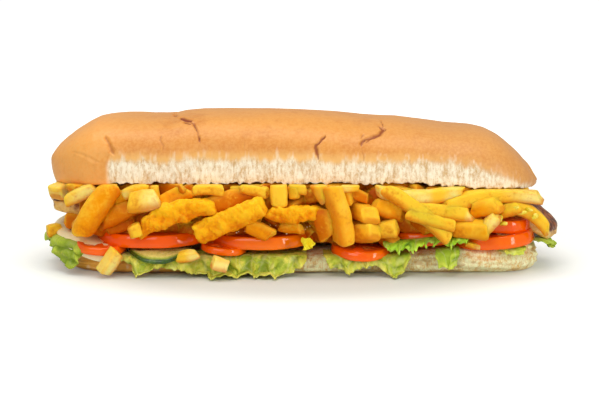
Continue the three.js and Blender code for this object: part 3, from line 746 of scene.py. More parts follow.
def roll_base_grid():
    """The lower half: a shallow boat with a flat foot. Torn crumb shows along its side, with folds that
    run level, and brown crust at the left end and in a strip above the foot. The valleys of the folds and a
    line along the foot are darkened as painted shade. Returns the grid of points and its masks."""
    grid, share, side = base_section_grid()
    x, y = grid[:, :1, 0].copy(), grid[..., 1].copy()
    level = grid[..., 2] / rim_height(x)
    strip = -0.12 + 0.34 * smoothstep(-x, -30, 60) + 0.09 * noise_along(x, 9, 60)
    torn = smoothstep(level, strip, strip + 0.16) * smoothstep(x + 5 * noise(grid, 5, 59), -98, -86)
    threads = noise(grid * np.array([0.45, 1, 1]), 2.0, 61)
    lumps = noise(grid * np.array([0.5, 1, 1]), 7.5, 64)
    relief = torn * (0.9 * threads + 1.7 * lumps - 0.3) + (1 - torn) * 0.35 * noise(grid, 7, 62)
    crease = np.sin(grid[..., 2] * 1.5 + 5 * noise(grid * np.array([0.4, 1, 1]), 16, 63))
    folded = 0.6 * smoothstep(-x, 84, 104) + 0.65 * smoothstep(x, 60, 112)
    relief = relief + 0.55 * crease * folded
    undercut = np.exp(-(level / 0.16) ** 2) * (0.5 + 0.5 * noise_along(x, 11, 65))
    relief = relief - 1.6 * undercut * smoothstep(x, 30, 90)
    grid[..., 1] += np.sign(y) * side * relief
    grid[..., 0] += np.sign(x) * side * relief * smoothstep(share, 0.5, 1)
    grid[..., 2] = np.maximum(grid[..., 2], 0)
    # Painted shade: darker in the valleys of the level folds, and in a line along the foot.
    valley_shade = folded * smoothstep(-crease, 0.35, 0.95) * 0.4 * side
    crack_shade = np.maximum(valley_shade, 0.8 * undercut * side)
    streaks = smoothstep(noise(grid * np.array([1, 1, 0.4]), 3.6, 66), 0.1, 0.5) * (1 - torn) * 0.8
    return grid, {"crumb": torn, "bake": np.clip(0.62 - 0.5 * level, 0, 1), "crack_shade": crack_shade, "fibre": streaks,
                  "height": 0.5}


def top_crust(w, colours, gold):
    """The upper half's crust by the mask height: pale just above the tear, deepest a little higher, partly as
    a painted shade where the crust turns down, and golden on the crown, greyer in patches, with a painted
    sheen towards the right, and lit at the left end."""
    height = w.mask("height")
    # Painted shade in part: the crust is deeper lower down, where it turns down towards the tear, with brown
    # patches in it.
    deep = w.mix(w.span(w.noise(60, 3), 0.35, 0.65, 0.35, 0.9), gold, colours.crust_brown)
    crust = w.mix(w.span(height, 0.2, 0.75), deep, gold)
    crust = w.mix(w.span(height, 0.02, 0.24), colours.crust_pale, crust)
    crust = w.mix(w.span(w.noise(9, 2), 0.4, 0.65, 0, 0.35), crust, colours.crust_grey_and_sheen)
    along = w.add("ShaderNodeSeparateXYZ", {"Vector": w.place()}).outputs["X"]
    # Painted sheen: the crust turns greyer towards the right end.
    crust = w.mix(w.span(along, 0.03, 0.12, 0, 0.6), crust, colours.crust_grey_and_sheen)
    return w.mix(w.span(along, -0.1, -0.13, 0, 0.75), crust, colours.crust_lit)


def bread_material(name, base):
    """Crust over torn crumb, by the masks crumb, bake, crack, fibre and height; crack is painted shade in the
    cracks, dents and creases, and pale below zero. With base it is the lower half's: browner towards the
    foot, with folds in its crumb painted as shade."""
    colours = bread()
    material, w, shader = new_material(name)
    crack_shade, crumb = w.mask("crack_shade"), w.mask("crumb")
    gold = uneven(w, colours.crust_gold, colours.crust_gold, colours.crust_brown, 24)
    if base:
        crust = w.mix(w.span(w.mask("bake"), 0.0, 0.2), gold, colours.base_brown)
        light, shade, groove = colours.base_crumb, colours.base_shade, colours.base_crease_shade
    else:
        crust = top_crust(w, colours, gold)
        light, shade, groove = colours.crumb_light, colours.crumb_shade, colours.crack_shade
    freckles = w.span(w.noise(560, 3, 0.65), 0.36, 0.64)
    crust = w.mix(w.math("MULTIPLY", freckles, 0.28), crust, colours.crust_pale)
    darker = w.span(w.noise(380, 3, 0.6, (1, 1, 0.6)), 0.5, 0.72)
    crust = w.mix(w.math("MULTIPLY", darker, 0.22), crust, colours.crust_brown)
    crust = w.mix(w.span(w.mask("fibre"), 0.2, 0.9, 0, 0.45), crust, colours.crumb_light)
    # Marks below zero are painted pale; beside the dent this is a painted highlight.
    crust = w.mix(w.span(w.math("MULTIPLY", crack_shade, -1), 0.05, 0.5), crust, colours.crumb_light)
    torn = grouped(w, "Torn crumb", crumb_group, {"Light": light, "Shade": shade, "Grain": 1150})
    shredded = torn["Colour"]
    if base:
        # Painted shade: darker streaks that stand for the shaded folds of the lower half's crumb.
        folds = w.span(w.noise(150, 3, 0.6, (0.45, 1, 1)), 0.54, 0.66, 0, 0.6)
        shredded = w.mix(folds, shredded, colours.base_fold_shade)
    colour = w.mix(crumb, crust, shredded)
    # Painted shade from the crack mask: in the cracks and dents, in a line along the torn crumb's lower edge,
    # and in the lower half's fold valleys and along its foot.
    colour = w.mix(w.span(crack_shade, 0.06, 0.8), colour, groove)
    pores = w.math("ADD", w.noise(1500, 2), w.math("MULTIPLY", w.noise(260, 3), 1.6))
    relief = w.math("ADD", w.math("MULTIPLY", torn["Height"], w.math("MULTIPLY", crumb, 2.4)), pores)
    roughness = w.span(crumb, 0, 1, 0.4, 0.92)
    finish_material(w, shader, colour, roughness, w.bump(relief, 0.14, 0.5), specular_ior_level=0.4)
    return material


# Lettuce

# A leaf's dim darkens its ridges, hem and veins, a painted shade over the whole leaf.
LEAVES = [
    {"node": "lettuce_front_left", "from": -107, "to": 4, "hang": 10.5, "ripple": 4.2, "wave": 15,
     "lobes": [(-98, 6, 9), (-76, 8, 1), (-47, 13, 13), (-18, 17, 10)]},
    {"node": "lettuce_front_middle", "from": 14, "to": 66, "hang": 8.5, "ripple": 3.4, "wave": 12,
     "lobes": [(29, 9, 5), (57, 8, 12)]},
    {"node": "lettuce_curl", "from": 50, "to": 104, "top": 8, "tuck": 8, "hang": 7, "ripple": 4.4,
     "wave": 8, "fresh": 1, "frizz": 1.4, "lobes": [(62, 9, 3), (92, 8, 2)]},
    {"node": "lettuce_hanging", "from": 82, "to": 96, "tuck": 4, "hang": 14, "ripple": 2.4, "wave": 11,
     "fresh": 0.4, "lobes": []},
    {"node": "lettuce_right", "from": 120, "to": 134, "tuck": 8, "hang": 5, "ripple": 2, "wave": 9,
     "fresh": 0.3, "lobes": [(126, 4, 3)]},
    {"node": "lettuce_right_end", "from": 142, "to": 180, "top": 2.2, "hang": 7, "ripple": 3.2, "wave": 8,
     "frizz": 1.6, "fresh": 0.4, "dim": 0.5, "lobes": [(160, 6, 3)]},
    {"node": "lettuce_left_end", "from": -192, "to": -124, "top": 2.4, "tuck": 10, "turn": 6, "hang": 12,
     "ripple": 3.4, "wave": 19, "fresh": 0.25, "dim": 0.4, "lobes": [(-134, 9, 10), (-176, 8, 2)]},
    {"node": "lettuce_back_left", "from": 350, "to": 440, "hang": 8, "ripple": 4.2, "wave": 18,
     "lobes": [(366, 12, 8), (422, 10, 9)]},
    {"node": "lettuce_back_right", "from": -446, "to": -362, "hang": 7, "ripple": 4.2, "wave": 16,
     "lobes": [(-392, 11, 9), (-430, 9, 7)]},
]
FRILL = {"left": 1.6, "right": 8.2, "y": -54.6, "bottom": 17, "top": 25}
LEAF_CLEAR = 0.95


def round_rim(along, out):
    """A point at a distance round the lower half's outline, counted from the middle of the front: straight,
    then round the end in a superellipse, then straight along the back. It is moved outwards by a distance."""
    side = np.where(along < 0, -1.0, 1.0)
    radius = FOOT["half_width"]
    past = np.abs(along) - FOOT["straight"]
    turn = np.clip(past / radius, 0, math.pi)
    back = np.maximum(0, past - math.pi * radius)
    power = np.where(along < 0, FOOT["left_power"], FOOT["right_power"])
    swell = (np.sin(turn) ** power + np.abs(np.cos(turn)) ** power) ** (-1 / power)
    x = side * (np.minimum(np.abs(along), FOOT["straight"]) + (radius * swell + out) * np.sin(turn) - back)
    return x, -(radius * swell + out) * np.cos(turn)


def drape(q, top, turn):
    """How a leaf lies: flat, over the rim in a quarter round, down, then out along the table."""
    bend = np.clip(q / turn, 0, math.pi / 2)
    fall = np.maximum(0, q - turn * math.pi / 2)
    height = top - turn * (1 - np.cos(bend)) - HANG["drop"] * fall
    spread = HANG["spread"] * np.maximum(0, HANG["lowest"] - height)
    out = np.minimum(q, 0) + turn * np.sin(bend) + HANG["out"] * fall + spread
    return out, np.maximum(height, HANG["lowest"])


def leaf_sweep(spec, u, v):
    """Where along the rim each point of a leaf lies, and how far over the rim: further at its lobes, less at
    its ends, and uneven at the hem."""
    along = lerp(spec["from"], spec["to"], u)
    lobe = sum((more * bump_at(along, at, wide) for at, wide, more in spec["lobes"]), 0 * along)
    end = np.minimum(1, 5 * np.minimum(u, 1 - u) + 0.45)
    nibble = 0.9 * noise_along(along, 4.4, 71) + 0.8 * noise_along(along, 1.3, 72)
    return along, lerp(-spec.get("tuck", 14), (spec["hang"] + lobe) * end + nibble, v)


def leaf_veins(flat, v):
    """The veins of a leaf laid flat: ribs that run down it, fainter towards the hem, and finer branches."""
    along, q = flat[..., 0], flat[..., 1]
    rib_line = np.abs(noise_along(along, 8, 76) + 0.06 * q * np.sin(along * 0.5)) * 8
    ribs = np.exp(-(rib_line / 0.9) ** 2) * (1 - 0.6 * v)
    branch = np.abs(noise(flat, 5.5, 77, 1)) * 5.5
    return np.maximum(ribs, 0.6 * np.exp(-(branch / 0.45) ** 2))


def leaf_grid(spec):
    """A leaf over the rim: it hangs further at its lobes, folds in waves that grow towards the hem, and
    frizzes finely at the hem itself. Returns the grid of points and the masks hem, vein, tint, crest and
    fresh, where crest is painted light on the ridges of the folds and painted shade in their troughs."""
    span = spec["to"] - spec["from"]
    columns, rows = max(40, int(span / 0.4)), 56
    u = np.linspace(0, 1, columns)[:, None]
    v = np.linspace(0, 1, rows)[None, :]
    along, q = leaf_sweep(spec, u, v)
    root = rim_height(round_rim(along, 0)[0]) + LEAF_CLEAR + spec.get("top", 0)
    out, height = drape(q, root, spec.get("turn", 5))
    grown = smoothstep(q, -1, 8)
    flat = np.stack([along + 0 * q, q, 0 * q], -1)
    wander = along + 5 * noise_along(along + 0 * q, 17, 73) + 4.5 * noise(flat, 9, 74)
    phase = 2 * math.pi * wander / spec["wave"]
    crest = 0.5 + 0.5 * np.sin(phase)
    hem = smoothstep(v + 0 * u, 0.62, 1.0)
    frizz = spec.get("frizz", 0.7) * hem * grown
    crumple = np.abs(noise(flat, 7, 68))
    crinkle = noise(flat * np.array([1, 0.6, 1]), 3.1, 79)
    fold = spec["ripple"] * grown * (0.7 * crest + 1.3 * crumple)
    fold = fold + frizz * (0.8 * np.sin(3.3 * phase + 1.3) + 1.3 * crinkle)
    lift = spec["ripple"] * grown * 0.45 * (0.5 + 0.5 * np.cos(phase + 1)) + 0.5 * frizz * np.cos(3.7 * phase)
    slide = 1.2 * grown * np.cos(phase) + frizz * noise(flat, 2.4, 80)
    x, y = round_rim(along + slide, out + fold)
    pucker = 0.5 * grown * noise(flat, 3.4, 75) + 0.3 * noise(flat, 1.5, 70)
    z = np.maximum(height + lift + pucker, 0.45)
    grid = np.stack([x + 0 * z, y + 0 * z, z], -1)
    # Painted light and shade: lit is lighter on the ridges of the folds and darker in their troughs, and dim
    # lowers it, the hem and the veins, as a painted shade over the whole leaf.
    dim = spec.get("dim", 1.0)
    lit = dim * (0.3 * crest + 0.45 * smoothstep(crumple, 0, 0.5) + 0.25 * smoothstep(crinkle, -0.4, 0.5))
    return grid, {"hem": hem * dim, "vein": leaf_veins(flat, v) * dim, "crest": lit,
                  "tint": 0.5 + 0.5 * noise(flat, 22, 78), "fresh": spec.get("fresh", 0.0)}


def frill_grid():
    """A small upright frill of pale leaf in front of the tomato, curled in an S as seen from above, with a
    notched top."""
    u = np.linspace(0, 1, 60)[:, None]
    v = np.linspace(0, 1, 40)[None, :]
    x = lerp(FRILL["left"], FRILL["right"], u) + 0.9 * np.sin(6 * v + 4 * u)
    top = FRILL["top"] - 3.4 * np.abs(u - 0.3) + 1.3 * noise_along(u * 8, 1.4, 79)
    y = FRILL["y"] - 1.7 * np.sin(7 * u) * (0.4 + 0.6 * v) - 0.6 * np.sin(14 * u + 5 * v)
    grid = np.stack([x, y + 0 * x, lerp(FRILL["bottom"] + 1.5 * u, top, v)], -1)
    # The frill's crest is a painted light and shade along its curl.
    return grid, {"hem": 0.9, "vein": 0.4 * bump_at(np.sin(12 * u + 2 * v), 0, 0.4), "tint": 0.2,
                  "crest": 0.5 + 0.5 * np.sin(7 * u) + 0 * v, "fresh": -1.0}


def leaf_material():
    """Lettuce: pale ribs and hems, painted shade in the troughs of the folds and painted highlight on their
    ridges, and bright green where the mask fresh says so, or bright yellow where that is below zero."""
    colours = filling()
    material, w, shader = new_material("lettuce")
    fresh = w.span(w.mask("fresh"), 0, 1)
    light = w.mix(fresh, colours.leaf_hem_and_highlight, colours.fresh_light)
    dark = w.mix(fresh, colours.leaf_dark_and_fold_shade, colours.fresh_dark_and_fold_shade)
    green = w.mix(fresh, colours.leaf_green, w.mix(0.4, colours.fresh_light, colours.fresh_dark_and_fold_shade))
    mottled = uneven(w, light, green, dark, 130)
    tinted = w.mix(w.span(w.mask("tint"), 0.3, 0.8), mottled, green)
    # Painted shade in the troughs of the folds and painted highlight on their ridges.
    folded = w.mix(w.span(w.mask("crest"), 0.4, 0.05, 0, 0.75), tinted, dark)
    folded = w.mix(w.span(w.mask("crest"), 0.55, 0.95, 0, 0.55), folded, light)
    hem = w.math("MULTIPLY", w.span(w.mask("hem"), 0.4, 1.0, 0, 0.8), w.span(w.noise(260), 0.35, 0.6))
    hemmed = w.mix(hem, folded, light)
    veined = w.mix(w.math("MULTIPLY", w.mask("vein"), 0.5), hemmed, colours.leaf_vein)
    yellow = w.mix(w.span(w.mask("fresh"), 0, -1), veined, colours.leaf_yellow)
    blister = w.math("ADD", w.cells(420, "SMOOTH_F1"), w.math("MULTIPLY", w.mask("vein"), 0.8))
    finish_material(w, shader, yellow, w.span(w.noise(300), 0.3, 0.7, 0.34, 0.52), w.bump(blister, 0.35, 0.5),
                    specular_ior_level=0.2)
    return material


# Slices

TOMATOES = [
    {"node": "tomato_1", "x": -91, "reach": -51, "radius": 39, "z": 20.8, "tip": 2, "roll": 0, "keep": 9},
    {"node": "tomato_2", "x": -121, "reach": -53, "radius": 16, "z": 15.4, "tip": 6, "roll": -4, "keep": 3,
     "slim": 0.66, "warm": 0.3},
    {"node": "tomato_3", "x": -25, "reach": -51, "radius": 37, "z": 19.6, "tip": 3, "roll": 0, "keep": 6,
     "warm": 1},
    {"node": "tomato_4", "x": -46.5, "reach": -54, "radius": 14, "z": 15.4, "tip": 3, "roll": -6, "keep": 2,
     "slim": 0.55, "warm": 0.5},
    {"node": "tomato_5", "x": 37, "reach": -54.5, "radius": 18.5, "z": 14.2, "tip": 0, "roll": -2, "keep": 5,
     "droop": 3, "slim": 0.68},
    {"node": "tomato_6", "x": 76, "reach": -45, "radius": 28, "z": 21, "tip": 2, "roll": 2, "keep": 12},
    {"node": "tomato_7", "x": 118.5, "reach": -51, "radius": 26, "z": 20, "tip": 2, "roll": 4, "keep": 12,
     "warm": 0.3},
    {"node": "tomato_8", "x": 122, "reach": -44, "radius": 21, "z": 28.4, "tip": 8, "roll": -3, "keep": 12},
    {"node": "tomato_9", "x": -82, "reach": 51, "radius": 38, "z": 21.6, "tip": 3, "roll": 2, "keep": 7},
    {"node": "tomato_10", "x": -4, "reach": 50, "radius": 36, "z": 20.8, "tip": 3, "roll": -2, "keep": 8},
    {"node": "tomato_11", "x": 78, "reach": 51, "radius": 37, "z": 21.6, "tip": 3, "roll": 2, "keep": 8},
]
CUCUMBERS = [
    {"node": "cucumber_1", "x": -85, "reach": -57, "radius": 19.5, "z": 14.2, "tip": 0, "roll": 0, "keep": 6,
     "droop": 4},
    {"node": "cucumber_2", "x": 38, "reach": 56, "radius": 20, "z": 15, "tip": 0, "roll": 0, "keep": 6,
     "droop": 4},
]


# How many seed pockets a slice has, and how far past the bread it has drooped by its own droop.
POCKETS = {"tomato": 5, "cucumber": 3}
SLICE_BEND = 12


def turned(points, roll, rise, swing):
    """Points turned about X by roll, then about Y by minus rise, then about Z by swing, in degrees. Each
    turn may be a single number or one for each of several shapes."""
    rx, ry, rz = (np.radians(np.asarray(angle, float)) for angle in (roll, -np.asarray(rise, float), swing))
    shape = rx.shape + (1,) * (points.ndim - 1 - rx.ndim)
    rx, ry, rz = (angle.reshape(shape) if angle.ndim else angle for angle in (rx, ry, rz))
    x, y, z = points[..., 0], points[..., 1], points[..., 2]
    y, z = y * np.cos(rx) - z * np.sin(rx), y * np.sin(rx) + z * np.cos(rx)
    x, z = x * np.cos(ry) + z * np.sin(ry), -x * np.sin(ry) + z * np.cos(ry)
    x, y = x * np.cos(rz) - y * np.sin(rz), x * np.sin(rz) + y * np.cos(rz)
    return np.stack([x, y, z], -1)


def slice_profile(radius, bulge, thick):
    """How far out and how high the rings of a slice lie: over its upper face, round a rim that bulges in
    half a superellipse, and back over its lower face."""
    share = np.concatenate([np.linspace(0.06, 0.9, 12), [0.94, 0.965, 0.985]])
    rim = np.linspace(math.pi / 2, -math.pi / 2, 15)
    face, inner = np.full(share.size, 0.5), radius - bulge
    out = [share * inner, inner + bulge * np.maximum(np.cos(rim), 0) ** 0.6, share[::-1] * inner]
    flat = [face, 0.5 * signed_power(np.sin(rim), 0.85), -face]
    return np.concatenate(out), np.concatenate(flat) * thick


def laid_slice(points, spec):
    """Moves a slice so that its outermost point is at the middle, tips and rolls it there, turns it to its
    side of the roll and puts it in its place. What reaches past the bread droops with the square of the
    distance."""
    side = math.copysign(1, spec["reach"])
    points = points + np.array([0, spec["radius"], 0])
    points = turned(turned(points, spec["tip"], 0, 0), 0, -side * spec["roll"], 0)
    points = turned(points, 0, 0, 180 if side > 0 else 0)
    points = points + np.array([spec["x"], spec["reach"], spec["z"]])
    past = np.maximum(0, side * points[..., 1] - FOOT["half_width"]) / SLICE_BEND
    points[..., 2] -= spec.get("droop", 0) * past ** 2
    return points


def round_slice_grid(spec, thick, pockets):
    """A round slice with a bulging rim, from the middle of its upper face over the rim to the middle of its
    lower face, cut straight past its middle, tipped and rolled, and drooping past the rim of the bread. The
    rim leans inwards towards the top."""
    thick = thick * spec.get("slim", 1)
    radius, bulge = spec["radius"], min(1.3, 0.4 * thick)
    out, flat = slice_profile(radius, bulge, thick)
    angle = np.linspace(0, 2 * math.pi, 120, endpoint=False)
    wave = 1 + 0.012 * np.sin(5 * angle) + 0.006 * np.sin(9 * angle + 1)
    reach = out[:, None] * wave[None, :]
    reach = reach - 0.16 * (flat[:, None] + 0.5 * thick) * smoothstep(out[:, None], 0.5 * radius, radius)
    x, y = reach * np.cos(angle), np.minimum(reach * np.sin(angle), spec["keep"])
    place = np.stack([x, y, 0 * x + flat[:, None]], -1)
    body = np.clip(out / radius, 0, 1)[:, None]
    pocket = smoothstep(body, 0.25, 0.4) * (1 - smoothstep(body, 0.74, 0.84))
    pocket = pocket * smoothstep(np.cos(pockets * angle + spec["x"]), -0.55, 0.1)
    top = np.where(np.abs(flat[:, None]) > 0.45 * thick, 1.0, 0.0)
    place[..., 2] -= np.sign(flat[:, None]) * 0.5 * pocket * top
    place[..., 2] += 0.16 * noise(place + spec["x"], 2.4, 81) * top * np.sign(flat[:, None])
    rimmed = smoothstep(out[:, None], radius - bulge * 0.9, radius - bulge * 0.4) + 0 * reach
    grid = laid_slice(place, spec)
    warm = spec.get("warm", 0) * smoothstep(grid[..., 0] - spec["x"], -radius, 0.5 * radius)
    return grid, {"skin": rimmed, "pocket": pocket, "body": body + 0 * reach, "warm": warm}


def tomato_material():
    colours = filling()
    material, w, shader = new_material("tomato")
    flesh = uneven(w, colours.tomato_wet, colours.tomato_flesh, colours.tomato_skin, 90, 0.02)
    wet = w.mix(w.math("MULTIPLY", w.mask("pocket"), 0.8), flesh, colours.tomato_wet)
    seeds = w.math("MULTIPLY", w.span(w.cells(330, "F1"), 0.35, 0.15), w.mask("pocket"))
    seeded = w.mix(seeds, wet, colours.tomato_seed)
    skin = uneven(w, colours.tomato_skin, colours.tomato_skin, colours.tomato_ripe, 28, 0.02)
    skin = w.mix(w.math("MULTIPLY", w.mask("warm"), 0.8), skin, colours.tomato_warm)
    colour = w.mix(w.mask("skin"), seeded, skin)
    finish_material(w, shader, colour, w.span(w.noise(500), 0.3, 0.7, 0.12, 0.26),
                    w.bump(w.noise(700, 2), 0.1, 0.4), specular_ior_level=0.06, coat_weight=0.75,
                    coat_roughness=0.06, specular_tint=(1, 0.6, 0.3, 1), coat_tint=(1, 0.85, 0.7, 1))
    return material


def cucumber_material():
    colours = filling()
    material, w, shader = new_material("cucumber")
    flesh = uneven(w, colours.cucumber_flesh, colours.cucumber_flesh, colours.cucumber_deep, 110)
    seeds = w.math("MULTIPLY", w.span(w.cells(300, "F1"), 0.35, 0.12), w.mask("pocket"))
    flesh = w.mix(w.math("MULTIPLY", seeds, 0.6), flesh, colours.cucumber_seed)
    near_rind = w.mix(w.span(w.mask("body"), 0.84, 0.97), flesh, colours.cucumber_green)
    rind = w.mix(w.span(w.noise(240, 2), 0.4, 0.6), colours.cucumber_rind, colours.rind_light)
    colour = w.mix(w.mask("skin"), near_rind, rind)
    finish_material(w, shader, colour, w.span(w.noise(500), 0.3, 0.7, 0.2, 0.36),
                    w.bump(w.noise(600, 2), 0.12, 0.5), coat_weight=0.2, coat_roughness=0.1)
    return material


SLICE = {"clear": 4.2, "end_rise": 2.4, "from": -190, "to": -112, "tuck": 24, "hang": 5.5, "front_hang": 6.5,
         "turn": 6}


def pale_slice_grid():
    """The soft slice on the lettuce at the left end, draped from the end down to the front, with a softly
    sagging edge."""
    u = np.linspace(0, 1, 120)[:, None]
    v = np.linspace(0, 1, 44)[None, :]
    along = lerp(SLICE["from"], SLICE["to"], u)
    rim = rim_height(round_rim(along, 0)[0])
    root = rim + SLICE["clear"] + SLICE["end_rise"] * smoothstep(-along, 140, 185)
    hang = SLICE["hang"] + SLICE["front_hang"] * smoothstep(along, -155, -128)
    hang = hang + 0.9 * noise_along(along, 12, 82)
    q = lerp(-SLICE["tuck"], hang, v)
    out, height = drape(q, root, SLICE["turn"])
    x, y = round_rim(along, out + 0.4 * noise_along(along + q, 9, 83) * smoothstep(v, 0.6, 1))
    grid = np.stack([x, y, height + 0.25 * noise_along(along - q, 7, 84)], -1)
    return grid, {"hem": smoothstep(v + 0 * u, 0.9, 1.0)}


def pale_slice_material():
    colours = filling()
    material, w, shader = new_material("pale_slice")
    cream = uneven(w, colours.slice_cream, colours.slice_cream, colours.slice_deep, 70)
    colour = w.mix(w.math("MULTIPLY", w.mask("hem"), 0.5), cream, colours.slice_hem)
    finish_material(w, shader, colour, w.span(w.noise(200), 0.3, 0.7, 0.32, 0.46),
                    w.bump(w.noise(500, 3), 0.15, 0.4), subsurface_weight=0.15, subsurface_scale=0.003)
    return material


# Chips, battered strips and fillets

STRIPS = [
    {"node": "battered_strip_1", "at": (-73.6, -53, 38), "long": 46, "thick": 13.2, "wide": 10, "rise": 18,
     "bend": 3.5, "taper": 0.3},
    {"node": "battered_strip_2", "at": (-42, -54, 35), "long": 45, "thick": 13.4, "wide": 11, "rise": 24,
     "swing": -6, "taper": 0.08},
    {"node": "battered_strip_3", "at": (-3.5, -52, 39), "long": 34, "thick": 10.5, "wide": 9, "rise": 3,
     "bend": -1.5, "taper": 0.5},
]
FILLETS = [
    {"node": "seared_fillet_right", "at": (138, -16, 34), "long": 46, "thick": 11, "wide": 34, "rise": -30,
     "roll": 14, "bend": 2, "taper": 0.3},
    {"node": "seared_fillet_left", "at": (-133, -14, 37), "long": 42, "thick": 11, "wide": 36, "rise": -14,
     "bend": 2, "taper": 0.3},
]
LOOSE_CHIPS = [
    {"node": "loose_chip_1", "at": (-113.5, -54, 9.8), "long": 15.5, "thick": 8.5, "wide": 8, "rise": 56,
     "roll": 40, "taper": 0.05, "tone": 0.05},
    {"node": "loose_chip_2", "at": (-67, -56.5, 14), "long": 12.5, "thick": 6.5, "rise": 10, "roll": 20,
     "taper": 0.3, "tone": 0.03},
    {"node": "loose_chip_3", "at": (-47.5, -62, 9.8), "long": 9.5, "thick": 8, "rise": -20, "swing": 14,
     "taper": 0.02, "tone": 0.04},
    {"node": "loose_chip_4", "at": (-152, -22, 23.4), "long": 8.5, "thick": 7.5, "rise": 8, "swing": 30,
     "taper": 0.05, "tone": 0.22},
    {"node": "loose_chip_5", "at": (104, -47, 18.4), "long": 9, "thick": 3.5, "wide": 7, "rise": -14,
     "taper": 0.2, "tone": 0.05},
]
# The chips that show at the front. For each: x and z of its two ends, how far forward its middle lies (y),
# how much its second end lies behind its first, its thickness, its tone from 0 (cream) to 1 (deep amber),
# and how far its middle bends up. The deepest tones, on chips that lie back among the others, are partly a
# painted shade.
FRONT_CHIPS = [
    (-149, 48, -141, 50, -26, 14, 11, 0.1, 0), (-141, 44.5, -123, 53.5, -43, -3, 8, 0, 0),
    (-130.5, 27.5, -112, 54.5, -47, 3, 14.5, 0.55, 1.5), (-121, 32, -97, 43, -42, 0, 12.5, 0.62, 0),
    (-118, 27, -98, 33, -40, 0, 9, 0.9, 0), (-105, 49.5, -91, 54.5, -47, 0, 7.5, 0.15, 0),
    (-112, 46.5, -103, 49.5, -45, 0, 6.5, 0.45, 0), (-101, 45, -85, 47, -51, 0, 13.5, 0.05, 0),
    (-87, 56, -86, 40, -49, 0, 5.5, 0.12, 0), (-84, 42, -66, 52, -47, 0, 11, 0.5, 0),
    (-70, 54, -61, 43, -42, 0, 9, 0.85, 0), (-63, 53.5, -46, 53, -49, 0, 8, 0.2, 1.5),
    (-57, 41, -23, 52, -45, 0, 11.5, 0.8, 0), (-35, 54.5, -19, 50.5, -50, 0, 7.5, 0.15, 0),
    (-12.8, 57, -12.5, 42.5, -49, -2, 10.5, 0.14, 0), (-7, 54, 4, 53, -48, 0, 7, 0.35, 0),
    (-4, 55, -3.5, 47, -49, 0, 6.5, 0.3, 0), (-6, 49, 10, 44, -36, 0, 9, 0.95, 0),
    (18.5, 56, 27, 21.5, -53, 0, 12, 0.3, 1), (12.5, 42, 17.5, 24, -49, 0, 12, 0.8, 0),
    (10, 57, 16, 46, -50, 0, 9.5, 0.2, 0), (24.5, 54.5, 35, 54.5, -50, 0, 6, 0.15, 0),
    (26.5, 52, 28.5, 43, -47, 0, 7.5, 0.45, 0), (29, 51, 41, 46, -44, 0, 7, 0.8, 0),
    (30, 45, 38, 34, -38, 0, 9, 0.95, 0),
    (32, 39.5, 42, 37.5, -44, -20, 10.5, 0.45, 0), (33, 24.5, 45, 28, -49, -14, 11, 0.3, 0),
    (46, 28, 58, 30, -50, -8, 10, 0.2, 0), (44, 42.5, 62, 37, -46, 0, 10.5, 0.6, 0),
    (52, 53, 88, 25.5, -52, -4, 9.5, 0.2, 2), (64, 39, 91, 31, -54, 0, 8.5, 0.25, 0),
    (46, 50, 98, 50.5, -48, 0, 8.5, 0.12, -4), (84, 43.5, 145, 49, -45, 12, 9.5, 0.15, 5),
    (68, 41.5, 103, 37.5, -51, 0, 9, 0.3, 0), (101, 40.5, 119, 44, -49, -4, 11, 0.55, 0),
    (93, 30, 112, 29, -52, -6, 11, 0.45, 0), (108, 27.5, 117.5, 38, -54, 0, 8, 0.2, 0),
    (122, 43.5, 151, 28, -41, 6, 8.5, 0.25, 5), (120, 38, 132, 41, -45, 0, 8, 0.35, 0),
    (-99.5, 32.5, -96.5, 25, -54, 0, 8.5, 0.25, 0), (-33, 32.5, -17, 25, -51, 0, 9.5, 0.5, 0),
    (-12, 29.5, 1.5, 29, -47, -6, 6.5, 0.55, 0), (-58, 47, -44, 36, -40, 0, 9, 0.9, 0),
    (2, 47, 14, 50, -41, 0, 9, 0.9, 0), (104, 50, 122, 46, -36, 0, 9, 0.7, 0),
]
CHIP = {"thick": 10.5, "long": 34, "under_bread": -0.7, "below_cut": 5, "right_tone": 0.75, "right_from": 40}
# The rows of chips along the back and between, and the block inside the heap. Each row starts a shift
# further on than the one before it.
BACK_ROWS = {"heights": (30, 40.5, 50), "from": -122, "to": 126.01, "shift": 7, "step": 27, "y": 41,
             "outward_y": 33, "outward_share": 0.28}
# The chips between take a deep tone, a painted shade for the depths of the heap.
BETWEEN = {"depths": ((-1, 35), (1, 33), (-1, 22), (1, 20)), "heights": (29, 37, 45, 52), "from": -124,
           "to": 118, "shift": 6, "step": 19, "tone": 0.85}
CORE = {"x": -2, "half_long": 126, "half_deep": 30, "z": 33.5, "half_high": 19.5}


def chips_in_front():
    """The bars for the chips that show at the front, from the places of their ends."""
    chips = []
    for x0, z0, x1, z1, y, behind, thick, tone, bend in FRONT_CHIPS:
        flat = math.hypot(x1 - x0, behind)
        tone *= CHIP["right_tone"] if x0 > CHIP["right_from"] else 1
        chips.append({
            "at": ((x0 + x1) / 2, y, (z0 + z1) / 2), "long": math.hypot(flat, z1 - z0), "thick": thick,
            "rise": math.degrees(math.atan2(z1 - z0, flat)),
            "swing": math.degrees(math.atan2(behind, x1 - x0)),
            "bend": bend, "tone": tone, "taper": 0.08})
    return chips


def bar_measures(specs):
    """The measures of several bars as arrays, each with its usual value where a bar gives none."""
    usual = {"rise": 0, "swing": 0, "roll": 0, "bend": 0, "taper": 0.14, "tone": 0.6}
    rows = [{**usual, **spec, "wide": spec.get("wide", spec["thick"])} for spec in specs]
    keys = ("at", "long", "thick", "wide", *usual)
    return {key: np.array([row[key] for row in rows], float) for key in keys}


# How a bar closes at its ends: the size of the last rings, and how far out on the end's round they lie.
CAP_SIZES = [0.42, 0.76, 0.91, 0.98]
CAP_PLACES = [0, 0.05, 0.22, 0.55]
